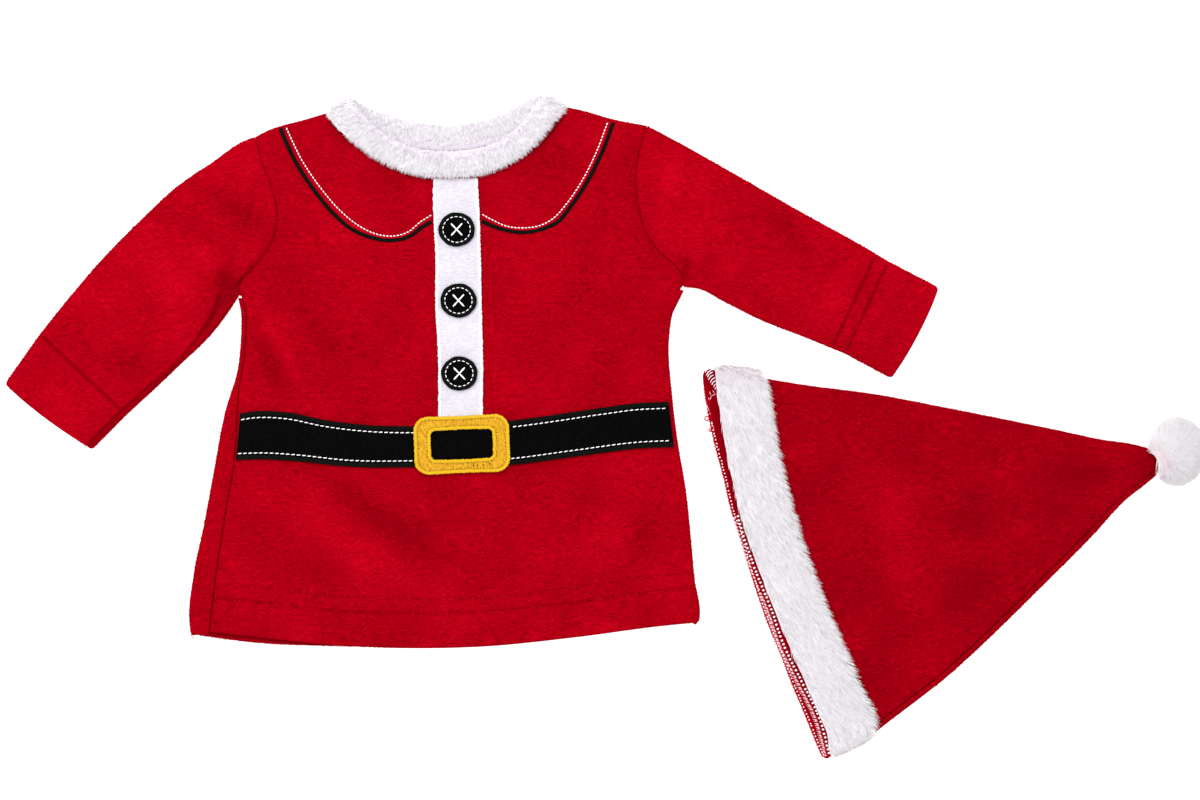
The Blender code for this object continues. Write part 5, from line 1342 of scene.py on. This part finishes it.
def hat_plan(shares):
    """Plan grid of the hat: stations from the band to the tip, and shares from the upper edge to the lower one.
    The curve beside the band fades into straight lines towards the tip."""
    top, low = along(HAT_TOP, HAT_STATIONS), along(HAT_LOW, HAT_STATIONS)
    top_out, low_out = -leaning(top), leaning(low)
    top_in, low_in = top - EDGE * top_out, low - EDGE * low_out
    part = shares[:, None]
    start = along(HAT_MOUTH, shares)
    start += (1 - part) * (top_in[0] - start[0]) + part * (low_in[0] - start[-1])
    straight = top_in[0] + part * (low_in[0] - top_in[0])
    fade = (1 - eased(HAT_STATIONS / HAT_BEND))[:, None, None]
    return top_in[:, None] * (1 - part) + low_in[:, None] * part + fade * (start - straight), top_out, low_out


def hat_lift(from_band):
    """How far the back half of the fur band lifts the cloth, by distance from the front half's inner edge."""
    start, end = BAND_SLOPE
    return BAND_LIFT * (1 - eased((from_band - start) / (end - start)))


def seam_strip(plan):
    """Width of the back's strip over the lower edge, narrower where the hat is, towards the tip."""
    width = np.linalg.norm(plan[:, -1] - plan[:, 0], axis=1)
    return WRAP_LEAST + (HAT_SEAM - EDGE - WRAP_LEAST) * np.clip((width - 10) / 50, 0, 1)[:, None]


def hat_soft_edge():
    """How far the pile rounds a cut edge: less towards the tip, where the seam is pressed flat."""
    return SOFT_EDGE * (1 - 0.75 * eased((HAT_STATIONS - 0.55) / 0.3))[:, None]


shares = close_shares(96, 0.06)
plan, top_out, low_out = hat_plan(shares)
from_band = np.linalg.norm(plan - plan[0], axis=2)
inner_low = plan[:, -1] - (seam_strip(plan) + GAP) * low_out
plan = plan + eased((shares - 0.8) / 0.2)[None, :, None] * (inner_low - plan[:, -1])[:, None]
middle = 1 - np.abs(2 * shares - 1) ** 3
inside = middle * (1 - eased((HAT_STATIONS[:, None] - HAT_BEND) / 0.3))
soft = folds(plan[:, :, 0], plan[:, :, 1], HAT_FOLDS)
puff = HAT_PUFF * inside * eased(from_band / HAT_RISE + 0.1)
lift = hat_lift(from_band)
main = stacked(plan[:, :, 0], plan[:, :, 1], OVER + lift + np.maximum(puff + soft * inside, 0))
roll, roll_normals = fold_round(plan[:, 0], top_out, 90, 165, ROLL_STEPS)
roll[:, :, 2] += lift[:, :1]
foot = roll[:, :1].copy()
foot[:, :, 2] = FOOT + lift[:, :1]
points = np.concatenate([foot, roll, main], axis=1)
normals = np.concatenate([roll_normals[:, :1], roll_normals, upright(main)], axis=1)
free = np.minimum(np.linalg.norm(points - points[:, -1:], axis=2), np.linalg.norm(points - points[:1], axis=2))
free = np.minimum(free, np.linalg.norm(points - points[-1:], axis=2))
half = half_thick(free, hat_soft_edge())
# Painted shading: the folds' troughs darker, their ridges brighter.
nap = HAT_PAINTED_SHADE + np.hstack([np.zeros((len(soft), ROLL_STEPS + 1)), soft / 1.5])
hat_front = cloth("hat_front_plush", points, normals, half, red_plush, nap)
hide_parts("hat_front_panel")

shares = close_shares(60, 0.08)
plan, top_out, low_out = hat_plan(shares)
plan -= 0.15 * top_out[:, None] * (1 - shares)[None, :, None]
mouth = along(HAT_INSIDE_EDGE, shares)
depth = np.array([0, 0.006, 0.014, 0.026, 0.045, 0.07, 0.1, 0.12, 0.14, 0.16, 0.18, 0.2, 0.25, 0.4, 0.7, 0.9])
inner = mouth + depth[:, None, None] * (plan[0] - mouth)
narrow = INSIDE_NARROW[1] * shares**6 - INSIDE_NARROW[0] * (1 - shares) ** 6
inner[:, :, 1] += narrow * eased((depth - 0.09) / 0.12)[:, None]
from_band = np.linalg.norm(plan - plan[0], axis=2)
before = -np.linalg.norm(inner - plan[0], axis=2)
lift = hat_lift(np.concatenate([before, from_band]))
whole = np.concatenate([inner, plan])
main = stacked(whole[:, :, 0], whole[:, :, 1], UNDER + lift)
out = np.vstack([low_out[:1].repeat(len(inner), axis=0), low_out])
wrap, wrap_normals = fold_round(whole[:, -1], out, 15, 180, WRAP_STEPS)
wrap[:, :, 2] += lift[:, -1:]
strip = seam_strip(plan)
strip = np.vstack([strip[:1].repeat(len(inner), axis=0), strip])
strip_share = np.array([0.3, 0.6, 0.85, 1.0])
edge = wrap[:, -1:].repeat(len(strip_share), axis=1)
edge[:, :, :2] -= (strip_share * strip)[:, :, None] * out[:, None]
points = np.concatenate([main, wrap, edge], axis=1)
normals = np.concatenate([-upright(main), wrap_normals, upright(edge)], axis=1)
free = np.linalg.norm(points - points[:1], axis=2)
turned = slice(main.shape[1], None)
free[:, turned] = np.minimum(free[:, turned], np.linalg.norm(points[:, turned] - points[:, -1:], axis=2))
half = half_thick(free, np.vstack([np.full((len(inner), 1), SOFT_EDGE), hat_soft_edge()]))
present = np.ones((points.shape[0] - 1, points.shape[1] - 1), bool)
present[: len(inner) + 1, main.shape[1] - 1 :] = False
# Painted shade in the hollow inside the mouth, stronger deeper in and fading towards the lower edge.
nap = np.full(points.shape[:2], HAT_PAINTED_SHADE)
fading = 1 - 0.8 * eased((shares - 0.2) / 0.35)
nap[: len(inner), : main.shape[1]] += HOLLOW_PAINTED_SHADE * eased(depth / 0.13)[:, None] * fading
hat_back = cloth("hat_back_plush", points, normals, half, red_plush, nap, present)
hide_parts("hat_back_panel")
low_edge = joined(HAT_LOW)
seam_at = low_edge - (EDGE + WRAP_LEAST + 0.1) * leaning(low_edge)
seam_at = seam_at[(seam_at[:, 0] > SEAM_HIDDEN[0]) & (seam_at[:, 0] < SEAM_HIDDEN[1])]
hat_edges = [
    fuzz("fuzz_hat_top", joined(HAT_TOP), -1, *HAT_FUZZ),
    fuzz("fuzz_hat_low", low_edge, 1, *HAT_FUZZ),
    fuzz("fuzz_hat_seam", seam_at, 1, *SEAM_FUZZ),
]
attach("red_plush", hat_front, hat_back, *hat_edges)

# Overlock stitching
# The cut edge at the hat's mouth is bound by an overlock seam in white thread, seen beside the fur band: a row
# of square rungs, a row of slanted loops on fine crossing threads, and dots where the thread turns round the
# edge. It follows the rounded corner at the top and runs wide again towards the bottom.
BAND_LEFT = (
    (60.9, 34.3), (63.2, 20.2), (64.8, 5.3), (67.9, -13.4), (71.8, -33.0), (76.6, -52.9), (86.6, -82.3),
    (94.4, -101.4), (101.2, -121.0), (111.4, -141.7), (121.0, -161.3), (126.9, -182.6),
)
CORNER_OUTER = (
    (56.1, 31.1), (56.7, 29.5), (57.3, 28.5), (57.9, 26.9), (58.9, 25.5), (59.8, 24.2), (60.9, 22.8),
    (61.7, 21.6),
)
CORNER_INNER = (
    (57.9, 32.9), (59.5, 32.4), (60.3, 31.4), (60.7, 29.7), (61.7, 28.3), (62.2, 26.6), (62.7, 25.0),
    (63.1, 23.2),
)
LOOSE_WHITE = (  # loose ends and loops of white thread: start and end of each stroke
    (56.7, 13.6, 58.3, 9.4), (58.0, 17.0, 58.2, 16.0), (58.6, 15.6, 59.6, 17.9), (59.6, 17.9, 62.4, 19.3),
    (58.5, 20.4, 59.2, 18.2), (60.3, 21.0, 61.4, 19.6), (58.6, 8.6, 59.0, 7.6), (57.4, 4.6, 58.0, 5.6),
    (59.2, 3.0, 59.9, 3.6), (60.6, 0.6, 61.0, -0.2),
)
LOOSE_LOOPS = ((57.1, 5.4, 1.35), (58.9, -1.1, 0.8), (57.0, 15.4, 0.6))  # of red thread: centre and radius
STRIP_TOP = UNDER + BAND_LIFT + PLUSH / 2
THREAD_PINK = "#f3c3cc"
# The same white thread where it is too fine to cover the red pile below, which tints it.
pink_thread = plain("white_thread_on_red", THREAD_PINK, 0.6)
beside_band, cut_edge = joined(BAND_LEFT), joined(HAT_INSIDE_EDGE)
lower = beside_band[beside_band[:, 1] < -48]
wide = beside_band[beside_band[:, 1] < -92]
edge = cut_edge[(cut_edge[:, 1] < 4) & (cut_edge[:, 1] > -184)]
rim = cut_edge[(cut_edge[:, 1] < 24) & (cut_edge[:, 1] > -184.5)]
outer_ends, inner_ends = (
    np.column_stack([rows, np.full(len(rows), STRIP_TOP)]) for rows in (CORNER_OUTER, CORNER_INNER)
)
bulge = (outer_ends + inner_ends) / 2 + (-0.45, 0.35, 0.25)
loose = np.array(LOOSE_WHITE)
loose_ends = [np.column_stack([loose[:, at : at + 2], np.full(len(loose), STRIP_TOP + 0.1)]) for at in (0, 2)]
loop_angle = np.linspace(0, 2 * np.pi, 9)
loops = np.stack([
    (x, y, STRIP_TOP - 0.6) + radius * np.column_stack([np.cos(loop_angle), np.sin(loop_angle), 0 * loop_angle])
    for x, y, radius in LOOSE_LOOPS
])
loop_ends = (side.reshape(-1, 3) for side in (loops[:, :-1], loops[:, 1:]))
even = (0.6, 1.0, 1.0, 1.0, 1.0, 0.6)  # a stitch that is nearly as thick at its ends
# Rows of thread: line, pitch, first and second end beside it, slant, width and height, thread, how far below
# the strip's top, unevenness
OVERLOCK_ROWS = {
    "rungs": (lower, 2.3, 1.95, 0.55, 0.1, (1.15, 0.5), white_thread, 0.0, 0.13),
    "loops": (lower, 2.3, 3.9, 3.0, 1.6, (0.75, 0.45), pink_thread, 0.0, 0.18),
    "net": (wide, 1.2, 5.2, 2.6, 0.8, (0.3, 0.25), pink_thread, 0.1, 0.12),
    "edge": (edge, 1.95, -1.5, -0.85, 0.5, (0.8, 0.45), white_thread, 0.15, 0.22),
    "turn": (rim, 0.7, -0.9, 0.55, 0.7, (0.42, 0.4), red_thread, 0.5, 0.22),
    "cast": (rim, 1.0, -2.1, -1.1, 0.5, (0.4, 0.35), red_thread, 0.1, 0.22),
}
overlock = [
    ladder(f"overlock_{name}", *row, STRIP_TOP - below, uneven)
    for name, (*row, below, uneven) in OVERLOCK_ROWS.items()
]
overlock += [
    stitches("overlock_corner_outer", outer_ends, bulge, 0.48, 0.36, white_thread, even),
    stitches("overlock_corner_inner", bulge, inner_ends, 0.48, 0.36, white_thread, even),
    stitches("overlock_loose", *loose_ends, 0.34, 0.3, pink_thread),
    stitches("overlock_red_loops", *loop_ends, 0.8, 0.6, red_thread, even),
]
attach("red_plush", *overlock)

# Hat band
# A wide band of white faux fur round the mouth, laid flat with its back half under the hat. Its long pile
# grows along the band, down and to the right, and the tips stand out over the red plush.
BAND_RING = (
    (80.8, -10.0, 8.9, 13.9, 2.6, 9.8),
    (77.6, 10.0, 8.9, 14.0, 2.6, 4.0),
    (75.9, 22.0, 8.9, 14.2, 2.6, 0.0),
    (74.6, 29.4, 8.8, 13.6, 2.5, -3.0),
    (74.0, 32.0, 7.9, 13.0, 2.4, -4.0),
    (73.4, 33.1, 5.4, 12.4, 2.2, -5.0),
    (72.6, 32.0, 2.9, 12.6, 2.0, -4.0),
    (72.0, 29.4, 1.9, 13.0, 1.85, -2.0),
    (71.4, 20.0, 1.75, 13.2, 1.75, 2.0),
    (74.8, -10.0, 1.75, 13.2, 1.75, 9.8),
    (84.8, -53.0, 1.75, 13.0, 1.75, 16.0),
    (103.5, -104.2, 1.75, 12.8, 1.75, 20.5),
    (127.5, -158.0, 1.75, 12.6, 1.75, 22.0),
    (133.6, -169.6, 1.75, 12.6, 1.75, 24.0),
    (136.3, -175.0, 1.9, 12.2, 1.85, 26.0),
    (137.4, -177.2, 2.9, 11.6, 2.0, 27.0),
    (137.9, -178.2, 5.4, 10.8, 2.2, 27.0),
    (137.4, -177.2, 7.9, 12.0, 2.4, 27.0),
    (137.0, -174.4, 8.8, 13.4, 2.6, 26.0),
    (136.4, -166.0, 8.9, 13.9, 2.6, 24.0),
    (131.4, -155.0, 8.9, 13.4, 2.6, 22.5),
    (121.1, -131.0, 8.9, 13.5, 2.6, 22.0),
    (109.5, -104.2, 8.9, 13.4, 2.6, 20.5),
    (99.6, -78.4, 8.9, 13.6, 2.6, 18.0),
    (91.0, -53.0, 8.9, 13.9, 2.6, 16.0),
    (85.5, -32.0, 8.9, 13.9, 2.6, 14.0),
)
BAND_SLIM = (0.8, 0.8)
BAND_LEVEL = 3.5  # only the half above this height grows locks
COMBED, RAISED = 0.88, 0.17  # how much the pile lies along the band, and stands out
LEANING, EDGE_LEANING = 0.18, 0.3  # how much it leans across, and more at the right edge
SHORT_BELOW = -170  # its lower end is clipped short
BAND_CLUMP, BAND_STRAY = (2.5, 0.09), 0.08
BAND_TONE, BAND_PATCH = 0.86, (2.0, 0.16, 0.34)
BAND_WIDTH = 1.05
BAND_LOCKS, BAND_LENGTH = 17200, (5.0, 7.5)
band_backing = ring_backing("hat_band_backing", BAND_RING, BAND_SLIM, white_fur)
s, a, on_top = furred(BAND_RING, BAND_LOCKS * 2, BAND_SLIM, BAND_LEVEL)
s, a = s[on_top][:BAND_LOCKS], a[on_top][:BAND_LOCKS]
roots, outwards, way, side = ring_surface(BAND_RING, s, a, BAND_SLIM)
down = way * np.sign(-way[:, 1:2])
right_edge = eased(np.cos(a) * 2 - 1)[:, None]
ways = COMBED * down + (LEANING + EDGE_LEANING * right_edge) * side + RAISED * outwards
ways += clumped(roots, *BAND_CLUMP) + draw.normal(0, BAND_STRAY, roots.shape)
lengths = draw.uniform(*BAND_LENGTH, len(s)) * np.where(roots[:, 1] < SHORT_BELOW, 0.5, 1.0)
droop = 0.1 * side + np.array([0, 0, -0.14])
tones = BAND_TONE + clumped(roots, *BAND_PATCH[:2])[:, 0] + draw.normal(0, BAND_PATCH[2], len(s))
# Painted reflection of the red plush near the band's top and along its inner edge.
blush = 0.2 * eased((roots[:, 1] - 24) / 12) + 0.06 * eased(-np.cos(a) * 3 - 2)
band_fur = locks("hat_band_fur", roots, ways, lengths, LOCK_WIDTH * BAND_WIDTH, droop, tones, outwards, blush)
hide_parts("hat_band")
attach("white_fur", band_backing, band_fur)

# Pompom
# A ball of long soft white fur sewn behind the tip of the hat.
POMPOM_CENTRE, POMPOM_REACH = np.array((318.9, -12.9, 13.4)), np.array((16.4, 19.5, 13.0))
POMPOM_CORE = np.array((320.2, -12.6, 12.0))
POMPOM_RADII = np.array((12.2, 15.2, 10.8))
POMPOM_LOCKS = 17400
POMPOM_LOW = -0.62  # no locks grow below this share of its height, where it lies on the surface
POMPOM_COMB = 0.8  # how far the strands lean away from the tip of the hat
POMPOM_UP = 1.5  # its locks are shaded as facing up even more, so the whole ball is bright as in soft light
POMPOM_GRID, POMPOM_WIDTH = (24, 48), 1.7
POMPOM_STRAYS = (0.12, 2.5)  # share of the locks that reach this much further over the hat's tip
POMPOM_LEAN, POMPOM_CLUMP, POMPOM_ENDS = 0.2, (4.0, 0.1), (0.84, 1.07)  # how ways and lengths vary
POMPOM_TONE, POMPOM_PATCH = 1.2, (2.6, 0.25, 0.3)
POMPOM_RED_REFLECTION = (0.22, 9, 7)  # painted reflection of the red hat: how strong, how far from the hat's tip, and how wide
HAT_TIP, HAT_TIP_CLEAR, HAT_TIP_HIGH = np.array((301.9, -20.8)), 9.6, 5.5


def on_sphere(polar, turn):
    """Directions by their angle from the pole and their turn round it."""
    return np.stack([np.sin(polar) * np.cos(turn), np.sin(polar) * np.sin(turn), np.cos(polar)], axis=-1)


polar = np.linspace(0.02, np.pi - 0.02, POMPOM_GRID[0])
turn = np.linspace(0, 2 * np.pi, POMPOM_GRID[1] + 1)[:-1]
core = (on_sphere(*np.meshgrid(polar, turn, indexing="ij")) * POMPOM_RADII + POMPOM_CORE).reshape(-1, 3)
quads = grid_quads(*POMPOM_GRID, False, True)[..., [0, 3, 2, 1]].reshape(-1, 4)
pompom_core = mesh_piece("pompom_core", core, quads, white_fur, tone=np.full(len(core), 0.9))
# The locks are spread evenly: a spiral from pole to pole that turns by the golden angle.
step = np.arange(POMPOM_LOCKS) + 0.5
grow = on_sphere(np.arccos(1 - 2 * step / POMPOM_LOCKS), np.pi * (1 + np.sqrt(5)) * step)
grow = grow[grow[:, 2] > POMPOM_LOW]
facing = grow.copy()
stray = np.where(draw.uniform(0, 1, len(grow)) < POMPOM_STRAYS[0], POMPOM_STRAYS[1], 0.0)
roots = POMPOM_CORE + grow * POMPOM_RADII
combed = roots[:, :2] - HAT_TIP
apart = np.linalg.norm(combed, axis=1, keepdims=True)
combed *= POMPOM_COMB * (1 - np.exp(-((apart / 12) ** 2))) * eased(grow[:, 2:] * 1.3) / apart
grow += draw.normal(0, POMPOM_LEAN, grow.shape) + clumped(roots, *POMPOM_CLUMP)
grow[:, :2] += combed
grow = unit(grow)
tips = POMPOM_CENTRE + grow * POMPOM_REACH * draw.uniform(*POMPOM_ENDS, len(grow))[:, None]
for share in np.linspace(0.95, 0.3, 14):
    plan_gap = np.hypot(tips[:, 0] - HAT_TIP[0], tips[:, 1] - HAT_TIP[1])
    blocked = plan_gap < np.where(tips[:, 2] < HAT_TIP_HIGH + 1, HAT_TIP_CLEAR, HAT_TIP_CLEAR - stray)
    tips[blocked] = roots[blocked] + share * (tips[blocked] - roots[blocked])
ways = tips - roots
lengths = np.linalg.norm(ways, axis=1)
tones = POMPOM_TONE + clumped(tips, *POMPOM_PATCH[:2])[:, 0] + draw.normal(0, POMPOM_PATCH[2], len(grow))
from_tip = np.linalg.norm(tips[:, :2] - HAT_TIP, axis=1)
# Painted reflection of the red hat's tip on the nearby locks.
blush = POMPOM_RED_REFLECTION[0] * np.exp(-(((from_tip - POMPOM_RED_REFLECTION[1]) / POMPOM_RED_REFLECTION[2]) ** 2))
width = LOCK_WIDTH * POMPOM_WIDTH
pompom_fur = locks("pompom_fur", roots, ways, lengths, width, 0 * ways, tones, facing, blush, POMPOM_UP)
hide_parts("hat_pompom")
attach("white_fur", pompom_core, pompom_fur)
